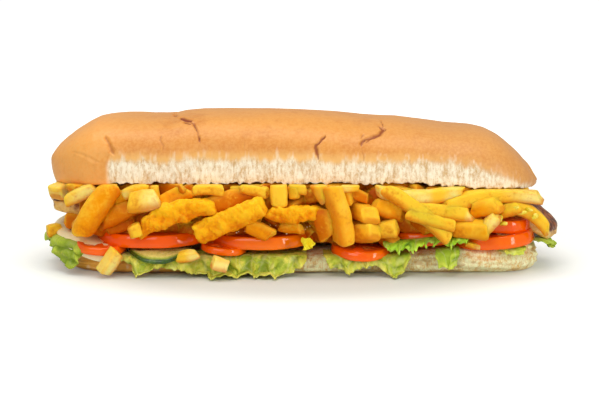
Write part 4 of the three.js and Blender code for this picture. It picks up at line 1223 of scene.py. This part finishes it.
# How a bar may depart from straight: ends cut at a slant, in full from a length of 26 mm, a twist along it,
# and a sideways bow as a share of its length.
BAR = {"slant": 0.28, "slant_length": 26, "twist": 0.16, "bow": 0.05}


def bar_rings(half, rings, rounding):
    """Where the rings of each bar lie along it, at equal steps and then close together over the round at
    both ends, and the size of each ring as a share of the full section."""
    cap, ends = np.array(CAP_SIZES), np.array(CAP_PLACES)
    size = np.concatenate([cap, np.ones(rings), cap[::-1]])
    step = np.concatenate([np.full(cap.size, -1.0), np.linspace(-1, 1, rings), np.full(cap.size, 1.0)])
    back = np.concatenate([ends, np.ones(rings), ends[::-1]])
    return step * (half - rounding) + np.sign(step) * rounding * (1 - back), size


def smooth_bars(m, x, size, across, up, draws, spin):
    """Bars along X before their noise: the section given by across and up at each ring, narrower towards the
    ends, with slanted ends, twisted, bent up and bowed sideways. Returns the points and how far along its
    bar each one lies, from -1 to 1."""
    half = m["long"][:, None] / 2
    narrow = 1 - m["taper"][:, None] * (x / half) ** 2
    y = (m["wide"][:, None] / 2 * narrow * size)[:, :, None] * across
    z = (m["thick"][:, None] / 2 * narrow * size)[:, :, None] * up
    slant = BAR["slant"] * np.minimum(m["wide"], m["thick"])[:, None]
    slant = (draws[:, 0:1] * across + draws[:, 1:2] * up) * slant
    slant = slant * np.minimum(1, m["long"][:, None] / BAR["slant_length"])
    x = x[:, :, None] + slant[:, None, :] * (x / half)[:, :, None]
    reached = x / half[:, :, None]
    twist = draws[:, 2, None, None] * BAR["twist"] * reached + math.radians(spin) * draws[:, 4, None, None]
    y, z = y * np.cos(twist) - z * np.sin(twist), y * np.sin(twist) + z * np.cos(twist)
    z = z + m["bend"][:, None, None] * (0.5 - reached ** 2)
    y = y + BAR["bow"] * m["long"][:, None, None] * draws[:, 5, None, None] * (0.3 - reached ** 2)
    return np.stack([x, y, z], -1), reached


def press_under_bread(grid):
    """Moves down the points that would stand in the upper half, with a soft bend just below it."""
    bend = 0.9
    room = cut_height(grid[..., 0]) - CHIP["under_bread"] - grid[..., 2]
    grid[..., 2] += room - bend * np.logaddexp(0, room / bend)


def bars_grid(specs, rings, around, squareness, rounding, lump, seed, billow=0.0, spin=0.0):
    """Bars of food, all at once: rounded rectangles carried along a bent middle line, closing at the ends
    over a short round, narrower towards the ends, and made uneven by noise. squareness is the power of the
    section, rounding the length of the end's round, lump the strength of the noise in millimetres, billow
    that of round lumps with creases between, and spin the most that a bar is turned about its own length.
    The bars are pressed flat where they touch the bread above. Returns the points and the masks edge, end,
    top, tint and crest."""
    m = bar_measures(specs)
    count = len(specs)
    x, size = bar_rings(m["long"][:, None] / 2, rings, rounding)
    angle = np.linspace(0, 2 * math.pi, around, endpoint=False) + math.pi / around
    power = 2 / squareness
    across, up = signed_power(np.cos(angle), power), signed_power(np.sin(angle), power)
    draws = np.random.default_rng(seed).uniform(-1, 1, (count, 6))
    grid, reached = smooth_bars(m, x, size, across, up, draws, spin)
    start = grid + np.arange(count)[:, None, None, None] * 91.7
    radial = grid * np.array([0.25, 1, 1])
    radial = radial / np.maximum(np.linalg.norm(radial, axis=-1, keepdims=True), 1e-6)
    crest = 0.5 + 0.75 * noise(start, 4.2, seed + 3, 1) + 0.55 * noise(start, 2.1, seed + 4)
    uneven_by = lump * (noise(start, 6.5, seed + 1) + 0.5 * noise(start, 2.6, seed + 2))
    uneven_by = uneven_by + billow * (crest - 0.5)
    grid = grid + radial * uneven_by[..., None]
    edge = smoothstep(np.abs(across) * np.abs(up), 0.45, 0.85) + 0 * reached
    end = (1 - smoothstep(size, 0.9, 1.0))[None, :, None] + 0 * reached
    grid = turned(grid, m["roll"], m["rise"], m["swing"]) + m["at"][:, None, None, :]
    press_under_bread(grid)
    tint = m["tone"][:, None, None] + 0.07 * draws[:, 3, None, None]
    tint = tint + 0.14 * draws[:, 1, None, None] * reached
    tint = np.clip(tint + 0.12 * noise(start, 9, seed + 5, 1) * (m["tone"] > 0.06)[:, None, None], 0, 1)
    return grid, {"edge": edge, "end": end, "top": up + 0 * reached, "tint": tint,
                  "crest": np.clip(crest, 0, 1)}


# How each kind of bar is divided and shaped, as bars_grid takes it.
FILLET_MAKE = {"rings": 90, "around": 96, "squareness": 3.2, "rounding": 3, "lump": 0.9}
STRIP_MAKE = {"rings": 130, "around": 110, "squareness": 3.4, "rounding": 3, "lump": 0.7, "billow": 1.7}
HEAP_MAKE = {"rings": 16, "around": 28, "squareness": 4.2, "rounding": 1.8, "lump": 0.6, "spin": 24}
CUBE_MAKE = {"rings": 14, "around": 40, "squareness": 6, "rounding": 0.7, "lump": 0.25}
STRIP_TONE = 0.42


def place_bars(specs, make, seed, kind, shown, material):
    """Shows each bar as a piece of its own, named for its solid with the kind's name changed."""
    for k, spec in enumerate(specs):
        grid, masks = bars_grid([spec], seed=seed + SEED_STEP * k, **make)
        place_tube(spec["node"].replace(kind, shown), grid, masks, material, [spec["node"]])


def lattice_draws(seed):
    """A repeatable draw between 0 and 1, one after another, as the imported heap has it."""
    state = seed
    while True:
        state = (state * 1664525 + 1013904223) % 4294967296
        yield state / 4294967296


def chips_by_rule():
    """Chips on the sides that the front view doesn't show: rows along the back and a few at each end."""
    draws = lattice_draws(sizes().chip_seed)
    chips = []

    def draw():
        return next(draws)

    for row, z in enumerate(BACK_ROWS["heights"]):
        for x in np.arange(BACK_ROWS["from"] + BACK_ROWS["shift"] * row, BACK_ROWS["to"], BACK_ROWS["step"]):
            outwards = draw() < BACK_ROWS["outward_share"]
            depth = BACK_ROWS["outward_y" if outwards else "y"]
            at = (x + 6 * (draw() - 0.5), depth + 4 * draw(),
                  min(z + 3 * (draw() - 0.5), float(cut_height(x)) - CHIP["below_cut"]))
            chips.append({"at": at, "long": CHIP["long"] * (0.8 + 0.5 * draw()),
                          "thick": CHIP["thick"] * (0.85 + 0.35 * draw()),
                          "rise": 56 * (draw() - 0.5) * (0.4 if row == 2 else 1),
                          "swing": 72 if outwards else 36 * (draw() - 0.5),
                          "tone": 0.15 + 0.5 * abs(math.sin(3.1 * x + row))})
    for end in (-1, 1):
        for k in range(3):
            at = (-139 + 3 * k if end < 0 else 131 - 2 * k, 1 + 13 * k, 47 - 5 * (k % 2))
            chips.append({"at": at, "long": 24 + 6 * draw(), "thick": CHIP["thick"] * (0.85 + 0.3 * draw()),
                          "rise": 24 * (draw() - 0.5), "swing": -end * (20 + 30 * draw()),
                          "tone": 0.3 + 0.1 * k})
    return chips


def chips_between():
    """Chips deeper in the heap, behind those that show at the front and at the back, in rows that lie
    every which way, in a deep tone that is a painted shade."""
    draws = np.random.default_rng(SEEDS["between"])
    chips = []
    for side, depth in BETWEEN["depths"]:
        for row, z in enumerate(BETWEEN["heights"]):
            first = BETWEEN["from"] + BETWEEN["shift"] * (row % 3)
            for x in np.arange(first, BETWEEN["to"], BETWEEN["step"]):
                d = draws.uniform(-1, 1, 6)
                high = min(z + 2 * d[2], float(cut_height(x)) - CHIP["below_cut"])
                chips.append({
                    "at": (x + 4 * d[0], side * (depth + 2 * d[1]), high),
                    "long": CHIP["long"] * (0.95 + 0.25 * d[3]),
                    "thick": CHIP["thick"] * (0.95 + 0.15 * d[3]),
                    "rise": 42 * d[4] * (0.5 if row == 3 else 1), "swing": 50 * d[5],
                    "tone": BETWEEN["tone"]})
    return chips


def heap_core_grid():
    """What the chips lie on: a block with rounded sides that fills the middle of the roll."""
    height = np.linspace(-1, 1, 42)[1:-1][:, None]
    angle = np.linspace(0, 2 * math.pi, 72, endpoint=False)[None, :]
    level = np.sqrt(1 - height ** 2)
    x = CORE["x"] + CORE["half_long"] * signed_power(level * np.cos(angle), 0.5)
    y = CORE["half_deep"] * signed_power(level * np.sin(angle), 0.45)
    z = CORE["z"] + CORE["half_high"] * signed_power(height, 0.45) + 0 * angle
    grid = np.stack([x, y, z], -1)
    return grid + 1.2 * noise(grid, 9, 91)[..., None] * np.array([1, 1, 0.3])


def chip_material(name, colours, patch, roughness, crest_shading=0.0, under=0.6):
    """Fried potato or batter: from cream over pale and golden to deep by the mask tint, patchy, with paler
    cut ends, crisp darker edges and a fine blistered skin. The sides that face up get a painted highlight.
    The crest shading is how much painted highlight the lumps get and painted shade the creases between them,
    under how much painted shade the sides that face down get."""
    material, w, shader = new_material(name)
    tint = w.mask("tint")
    cooked = w.mix(w.span(tint, 0.12, 0.5), colours["pale"], colours["gold"])
    cooked = w.mix(w.span(tint, 0.4, 0.95), cooked, colours["deep"])
    cooked = w.mix(w.span(tint, 0.12, 0.0), cooked, colours["cream"])
    darker = w.mix(0.6, cooked, colours["deep"])
    patchy = uneven(w, w.mix(0.55, cooked, colours["pale"]), cooked, darker, patch)
    crisp = w.math("MULTIPLY", w.mask("edge"), w.span(w.noise(160, 3), 0.4, 0.68))
    edged = w.mix(w.math("MULTIPLY", crisp, 0.4), patchy, colours["edge"])
    ended = w.mix(w.math("MULTIPLY", w.mask("end"), 0.5), edged, colours["pale"])
    # Painted shade in the creases between the lumps and painted highlight on the lumps.
    lumpy = w.mix(w.span(w.mask("crest"), 0.45, 0.05, 0, crest_shading), ended, colours["edge"])
    lumpy = w.mix(w.span(w.mask("crest"), 0.5, 0.9, 0, crest_shading * 0.7), lumpy, colours["pale"])
    # Painted highlight on the sides that face up and painted shade on the sides that face down.
    lumpy = w.mix(w.span(w.mask("top"), 0.1, 0.95, 0, 0.5), lumpy, colours["pale"])
    lumpy = w.mix(w.span(w.mask("top"), 0, -0.9, 0, under), lumpy, colours["deep"])
    dots = w.span(w.cells(170, "F1"), 0.13, 0.05)
    speckled = w.mix(w.math("MULTIPLY", dots, 0.2), lumpy, colours["edge"])
    height = w.math("ADD", w.noise(420, 4, 0.6), w.math("MULTIPLY", w.noise(1300, 2), 0.3))
    finish_material(w, shader, speckled, w.span(w.noise(260), 0.3, 0.7, roughness, roughness + 0.16),
                    w.bump(height, 0.45, 0.6), coat_weight=0.05, coat_roughness=0.2, specular_ior_level=0.15,
                    specular_tint=(1, 0.75, 0.25, 1), subsurface_weight=0.4, subsurface_scale=0.005,
                    subsurface_radius=(1, 0.45, 0.12))
    return material


def fillet_material():
    colours = filling()
    material, w, shader = new_material("seared")
    sides = uneven(w, colours.sear_cream, colours.sear_pale, colours.sear_brown, 70)
    net = w.span(w.cells(150, stretch=(1, 1.5, 1)), 0.16, 0.05)
    seared = uneven(w, colours.sear_light, colours.sear_brown, colours.sear_char, 95, 0.05)
    charred = w.mix(w.math("MULTIPLY", net, 0.75), seared, colours.sear_char)
    upper = w.span(w.math("ADD", w.mask("top"), w.math("MULTIPLY", w.noise(120), 0.35)), 0.7, 0.95)
    fibres = w.noise(900, 2, stretch=(0.3, 1, 1))
    height = w.math("ADD", fibres, w.math("MULTIPLY", w.cells(150, stretch=(1, 1.5, 1)), 1.5))
    finish_material(w, shader, w.mix(upper, sides, charred), w.span(w.noise(200), 0.3, 0.7, 0.34, 0.55),
                    w.bump(height, 0.5, 0.7), coat_weight=0.1, coat_roughness=0.2)
    return material


# Small things

def blobs_grid(places, radii, rings, around, lump, seed):
    """Small uneven balls, all at once: rings of latitude, each ball with its own stretch and noise."""
    count = len(places)
    draws = np.random.default_rng(seed)
    latitude = np.linspace(-math.pi / 2, math.pi / 2, rings + 2)[1:-1]
    angle = np.linspace(0, 2 * math.pi, around, endpoint=False)
    ball = np.stack([np.cos(latitude)[:, None] * np.cos(angle), np.cos(latitude)[:, None] * np.sin(angle),
                     np.sin(latitude)[:, None] + 0 * angle], -1)
    stretch = np.asarray(radii)[:, None, None, :]
    start = ball[None] + 9.1 * np.arange(count)[:, None, None, None]
    shape = ball[None] * (1 + lump * noise(start, 0.9, seed)[..., None]) * stretch
    roll, rise = draws.uniform(-40, 40, count), draws.uniform(-40, 40, count)
    shape = turned(shape, roll, rise, draws.uniform(0, 180, count))
    return shape + np.asarray(places)[:, None, None, :]


# Where crumbs lie, from and to along each axis, the share of them at the front, their half widths, and how
# crumbs and blobs of relish are divided and shaped, as blobs_grid takes it.
CRUMBS = {"x": (-60, 40), "y": (44, 49), "z": (25, 31), "at_front": 0.7, "half_widths": (0.3, 0.7)}
CRUMB_MAKE = {"rings": 3, "around": 6, "lump": 0.3}
RELISH_MAKE = {"rings": 18, "around": 28, "lump": 0.35}


def crumb_places(count):
    """Where the small crumbs lie, and their half widths: in a low band along the middle of the roll, between
    the tomato and the chips, most of them at the front."""
    draws = np.random.default_rng(SEEDS["crumb_places"])
    x = draws.uniform(*CRUMBS["x"], count)
    level = draws.uniform(0, 1, count)
    front = draws.uniform(0, 1, count) < CRUMBS["at_front"]
    y = np.where(front, -1, 1) * draws.uniform(*CRUMBS["y"], count)
    z = lerp(*CRUMBS["z"], level)
    return np.stack([x, y, z], -1), draws.uniform(*CRUMBS["half_widths"], (count, 3))


def crumb_material():
    colours = bread()
    material, w, shader = new_material("crumbs")
    colour = w.mix(w.span(w.noise(300, 2), 0.4, 0.6), colours.crumb_light, colours.crust_pale)
    finish_material(w, shader, colour, 0.8, w.bump(w.noise(1200, 2), 0.1, 0.5))
    return material


# The blobs of relish, each as its middle and its three half widths.
SAUCE = [
    ((119.5, -50.5, 35.4), (3.2, 1.6, 2)), ((122, -49, 32), (2.6, 1.4, 1.2)),
    ((128, -47.6, 41.4), (3.2, 1, 1.2)), ((133, -47.2, 38.4), (2.8, 1, 1.1)),
    ((137, -46.4, 40.2), (3.4, 1.1, 1.3)), ((141, -45.6, 36), (2.2, 1, 1.6)),
]


def sauce_material():
    colours = filling()
    material, w, shader = new_material("sauce")
    colour = uneven(w, colours.sauce_light, colours.sauce, colours.sauce_dark, 260)
    finish_material(w, shader, colour, w.span(w.noise(400), 0.3, 0.7, 0.12, 0.3),
                    w.bump(w.noise(500), 0.4, 0.6), coat_weight=0.4, coat_roughness=0.05)
    return material


# Operators, one for each piece or group of like pieces

class ROLL_OT_top(bpy.types.Operator):
    """Make the upper half of the loaf"""

    bl_idname = "filled_roll.top"
    bl_label = "Upper half"

    def execute(self, context):
        grid, masks = roll_top_grid()
        place_tube("roll_top", grid, masks, bread_material("crust", base=False), ["top_half"])
        return {"FINISHED"}


class ROLL_OT_base(bpy.types.Operator):
    """Make the lower half of the loaf"""

    bl_idname = "filled_roll.base"
    bl_label = "Lower half"

    def execute(self, context):
        grid, masks = roll_base_grid()
        place_tube("roll_base", grid, masks, bread_material("bread", base=True), ["bottom_half"])
        return {"FINISHED"}


class ROLL_OT_lettuce(bpy.types.Operator):
    """Make the lettuce leaves and the small frill"""

    bl_idname = "filled_roll.lettuce"
    bl_label = "Lettuce"

    def execute(self, context):
        material = leaf_material()
        thickness = sizes().leaf_thickness / MM
        for spec in LEAVES:
            grid, masks = leaf_grid(spec)
            name = spec["node"].replace("lettuce", "leaf")
            place_sheet(name, grid, masks, thickness, material, [spec["node"]])
        grid, masks = frill_grid()
        place_sheet("leaf_frill", grid, masks, thickness, material, ["lettuce_frill"])
        return {"FINISHED"}


class ROLL_OT_slices(bpy.types.Operator):
    """Make the tomato and cucumber slices"""

    bl_idname = "filled_roll.slices"
    bl_label = "Tomato and cucumber"

    def execute(self, context):
        now = sizes()
        kinds = (
            (TOMATOES, now.tomato_thickness / MM, POCKETS["tomato"], tomato_material(), "tomato"),
            (CUCUMBERS, now.cucumber_thickness / MM, POCKETS["cucumber"], cucumber_material(), "cucumber"),
        )
        for specs, thick, pockets, material, slot in kinds:
            for spec in specs:
                grid, masks = round_slice_grid(spec, thick, pockets)
                name = spec["node"].replace("_", "_slice_")
                place_tube(name, grid, masks, material, [spec["node"]])
        return {"FINISHED"}


class ROLL_OT_pale_slice(bpy.types.Operator):
    """Make the soft pale slice"""

    bl_idname = "filled_roll.pale_slice"
    bl_label = "Pale slice"

    def execute(self, context):
        grid, masks = pale_slice_grid()
        place_sheet("soft_slice", grid, masks, sizes().slice_thickness / MM, pale_slice_material(),
                    ["pale_slice"])
        return {"FINISHED"}


class ROLL_OT_fillets(bpy.types.Operator):
    """Make the seared fillets"""

    bl_idname = "filled_roll.fillets"
    bl_label = "Seared fillets"

    def execute(self, context):
        material = fillet_material()
        place_bars(FILLETS, FILLET_MAKE, SEEDS["fillets"], "seared_fillet", "fillet", material)
        return {"FINISHED"}


class ROLL_OT_strips(bpy.types.Operator):
    """Make the battered strips"""

    bl_idname = "filled_roll.strips"
    bl_label = "Battered strips"

    def execute(self, context):
        colours = filling()
        material = chip_material("batter", {
            "cream": colours.batter_light, "pale": colours.batter_light, "gold": colours.batter_gold,
            "deep": colours.batter_dark, "edge": colours.batter_dark,
        }, patch=120, roughness=0.36, crest_shading=0.45, under=0.4)
        strips = [{**spec, "tone": STRIP_TONE} for spec in STRIPS]
        place_bars(strips, STRIP_MAKE, SEEDS["strips"], "battered_", "", material)
        return {"FINISHED"}


class ROLL_OT_chips(bpy.types.Operator):
    """Make the heap of chips over its core, and the loose pieces"""

    bl_idname = "filled_roll.chips"
    bl_label = "Chips"

    def execute(self, context):
        colours = filling()
        material = chip_material("chips", {
            "cream": colours.chip_cream, "pale": colours.chip_pale, "gold": colours.chip_gold,
            "deep": colours.chip_deep, "edge": colours.chip_edge,
        }, patch=85, roughness=0.38)
        core = heap_core_grid()
        # The core takes the deepest tint, a painted shade for the depths of the heap.
        masks = {"edge": 1.0, "end": 0.0, "top": 0.0, "tint": 1.0, "crest": 0.5}
        place_tube("chips_core", core, masks, material, ["chips"])
        chips = chips_in_front() + chips_by_rule() + chips_between()
        grid, masks = bars_grid(chips, seed=SEEDS["heap"], **HEAP_MAKE)
        place_tube("chips_heap", grid, masks, material, ["chips"])
        place_bars(LOOSE_CHIPS, CUBE_MAKE, SEEDS["cubes"], "loose_chip", "cube", material)
        return {"FINISHED"}


class ROLL_OT_crumbs(bpy.types.Operator):
    """Scatter bread crumbs and salt"""

    bl_idname = "filled_roll.crumbs"
    bl_label = "Crumbs"

    def execute(self, context):
        places, radii = crumb_places(sizes().crumb_count)
        grid = blobs_grid(places, radii, seed=SEEDS["crumbs"], **CRUMB_MAKE)
        place_tube("crumbs", grid, {}, crumb_material())
        return {"FINISHED"}


class ROLL_OT_sauce(bpy.types.Operator):
    """Put the relish on the chips at the right end"""

    bl_idname = "filled_roll.sauce"
    bl_label = "Relish"

    def execute(self, context):
        places, radii = zip(*SAUCE)
        grid = blobs_grid(places, radii, seed=SEEDS["relish"], **RELISH_MAKE)
        place_tube("relish", grid, {}, sauce_material())
        return {"FINISHED"}


# Floor, light and camera, in metres
CAMERA = {"back": 0.95, "elevation": 9, "aim": 0.03865, "lens": 90.46, "sensor": 36, "near": 0.01, "far": 50}
FLOOR_SIZE = 8.0
# How much brighter the floor looks to the camera: close rises away from the roll, so that a painted shadow is
# left round it, and far brings the floor up to white further out.
FLOOR_GLOW = {"close": 0.4, "far": 0.55}
SEEN_DAYLIGHT = 1.05
LAMPS = {
    "overhead": {"place": (-0.1, -0.15, 0.95), "aim": (0, 0, 0.04), "size": (1.1, 0.6)},
    "front": {"place": (-0.45, -1.15, 0.62), "aim": (0, 0, 0.04), "size": (0.8, 0.6)},
    "side": {"place": (1.0, -0.82, 0.3), "aim": (0.05, 0, 0.04), "size": (0.28, 0.6)},
}


def floor_material(settings):
    """Pale floor that looks brighter to the camera away from the roll, so that it runs into the daylight.
    Near the roll it is left darker, a painted shadow.
    """
    material, w, shader = new_material("floor")
    tone = w.mix(w.span(w.noise(3, 2), 0.3, 0.7, 0, 0.03), settings.floor_colour, settings.floor_light)
    finish_material(w, shader, tone, w.span(w.noise(8, 2), 0.3, 0.7, 0.6, 0.7), specular_ior_level=0.2)
    shader.inputs["Emission Color"].default_value = WHITE
    seen = w.add("ShaderNodeLightPath").outputs["Is Camera Ray"]
    away = w.add("ShaderNodeVectorMath", {0: w.place((0.74, 1, 1))}, operation="LENGTH").outputs["Value"]
    # Painted shadow: the floor is left darker to the camera close round the roll.
    glow_with_painted_shadow = w.math("ADD", w.span(away, 0.085, 0.14, 0, FLOOR_GLOW["close"]),
                  w.span(away, 0.12, 0.9, 0, FLOOR_GLOW["far"]))
    w.put(shader.inputs["Emission Strength"], w.math("MULTIPLY", seen, glow_with_painted_shadow))
    return material


def make_floor(scene, settings):
    half = FLOOR_SIZE / 2
    mesh = bpy.data.meshes.new("floor")
    mesh.from_pydata([(-half, -half, 0), (half, -half, 0), (half, half, 0), (-half, half, 0)], [],
                     [(0, 1, 2, 3)])
    mesh.materials.append(floor_material(settings))
    floor = bpy.data.objects.new("floor", mesh)
    scene.collection.objects.link(floor)


def make_daylight(scene, settings):
    """Even light from all sides, which the camera sees as white."""
    world = bpy.data.worlds.new("daylight")
    world.use_nodes = True
    w = Wiring(world.node_tree)
    back = world.node_tree.nodes["Background"]
    back.inputs["Color"].default_value = WHITE
    seen = w.add("ShaderNodeLightPath").outputs["Is Camera Ray"]
    w.put(back.inputs["Strength"], w.span(seen, 0, 1, settings.daylight, SEEN_DAYLIGHT))
    scene.world = world


def turn_towards(thing, aim):
    """Turns a lamp or camera at its place towards a point."""
    thing.rotation_mode = "QUATERNION"
    thing.rotation_quaternion = (Vector(aim) - thing.location).to_track_quat("-Z", "Y")


def soft_light(scene, name, power, place, aim, size):
    """A large soft lamp at a place, turned towards its aim."""
    lamp = bpy.data.lights.new(name, "AREA")
    lamp.shape, lamp.energy = "RECTANGLE", power
    lamp.size, lamp.size_y = size
    light = bpy.data.objects.new(name, lamp)
    light.location = place
    turn_towards(light, aim)
    scene.collection.objects.link(light)


def make_camera(scene):
    lens = bpy.data.cameras.new("camera")
    lens.lens, lens.sensor_width = CAMERA["lens"], CAMERA["sensor"]
    lens.clip_start, lens.clip_end = CAMERA["near"], CAMERA["far"]
    camera = bpy.data.objects.new("camera", lens)
    lift = math.radians(CAMERA["elevation"])
    aim = Vector((0, 0, CAMERA["aim"]))
    camera.location = aim + CAMERA["back"] * Vector((0, -math.cos(lift), math.sin(lift)))
    turn_towards(camera, aim)
    scene.collection.objects.link(camera)
    scene.camera = camera


class ROLL_OT_stage(bpy.types.Operator):
    """Set the floor, the light and the camera"""

    bl_idname = "filled_roll.stage"
    bl_label = "Stage"

    def execute(self, context):
        scene, settings = context.scene, context.scene.stage_settings
        make_floor(scene, settings)
        make_daylight(scene, settings)
        soft_light(scene, "overhead", settings.overhead, **LAMPS["overhead"])
        soft_light(scene, "front", settings.front, **LAMPS["front"])
        soft_light(scene, "side", settings.side, **LAMPS["side"])
        make_camera(scene)
        scene.view_settings.view_transform = "Standard"
        return {"FINISHED"}


OPERATORS = (
    ROLL_OT_stage, ROLL_OT_top, ROLL_OT_base, ROLL_OT_lettuce, ROLL_OT_slices, ROLL_OT_pale_slice,
    ROLL_OT_fillets, ROLL_OT_strips, ROLL_OT_chips, ROLL_OT_crumbs, ROLL_OT_sauce,
)
GROUPS = {"roll_sizes": RollSizes, "bread_colours": BreadColours, "filling_colours": FillingColours,
          "stage_settings": StageSettings}


class ROLL_PT_panel(bpy.types.Panel):
    """The roll's operators, sizes and colours"""

    bl_label = "Filled roll"
    bl_idname = "ROLL_PT_panel"
    bl_space_type = "VIEW_3D"
    bl_region_type = "UI"
    bl_category = "Filled roll"

    def draw(self, context):
        layout = self.layout
        for operator in OPERATORS:
            layout.operator(operator.bl_idname)
        for name in GROUPS:
            settings = getattr(context.scene, name)
            box = layout.box()
            for key in settings.bl_rna.properties.keys():
                if key not in {"rna_type", "name"}:
                    box.prop(settings, key)


def register():
    for group in GROUPS.values():
        bpy.utils.register_class(group)
    for name, group in GROUPS.items():
        setattr(bpy.types.Scene, name, PointerProperty(type=group))
    for operator in OPERATORS:
        bpy.utils.register_class(operator)
    bpy.utils.register_class(ROLL_PT_panel)


def unregister():
    bpy.utils.unregister_class(ROLL_PT_panel)
    for operator in reversed(OPERATORS):
        bpy.utils.unregister_class(operator)
    for name, group in reversed(GROUPS.items()):
        delattr(bpy.types.Scene, name)
        bpy.utils.unregister_class(group)


def main():
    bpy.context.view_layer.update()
    register()
    for operator in OPERATORS:
        family, step = operator.bl_idname.split(".")
        getattr(getattr(bpy.ops, family), step)()


if __name__ == "__main__":
    main()
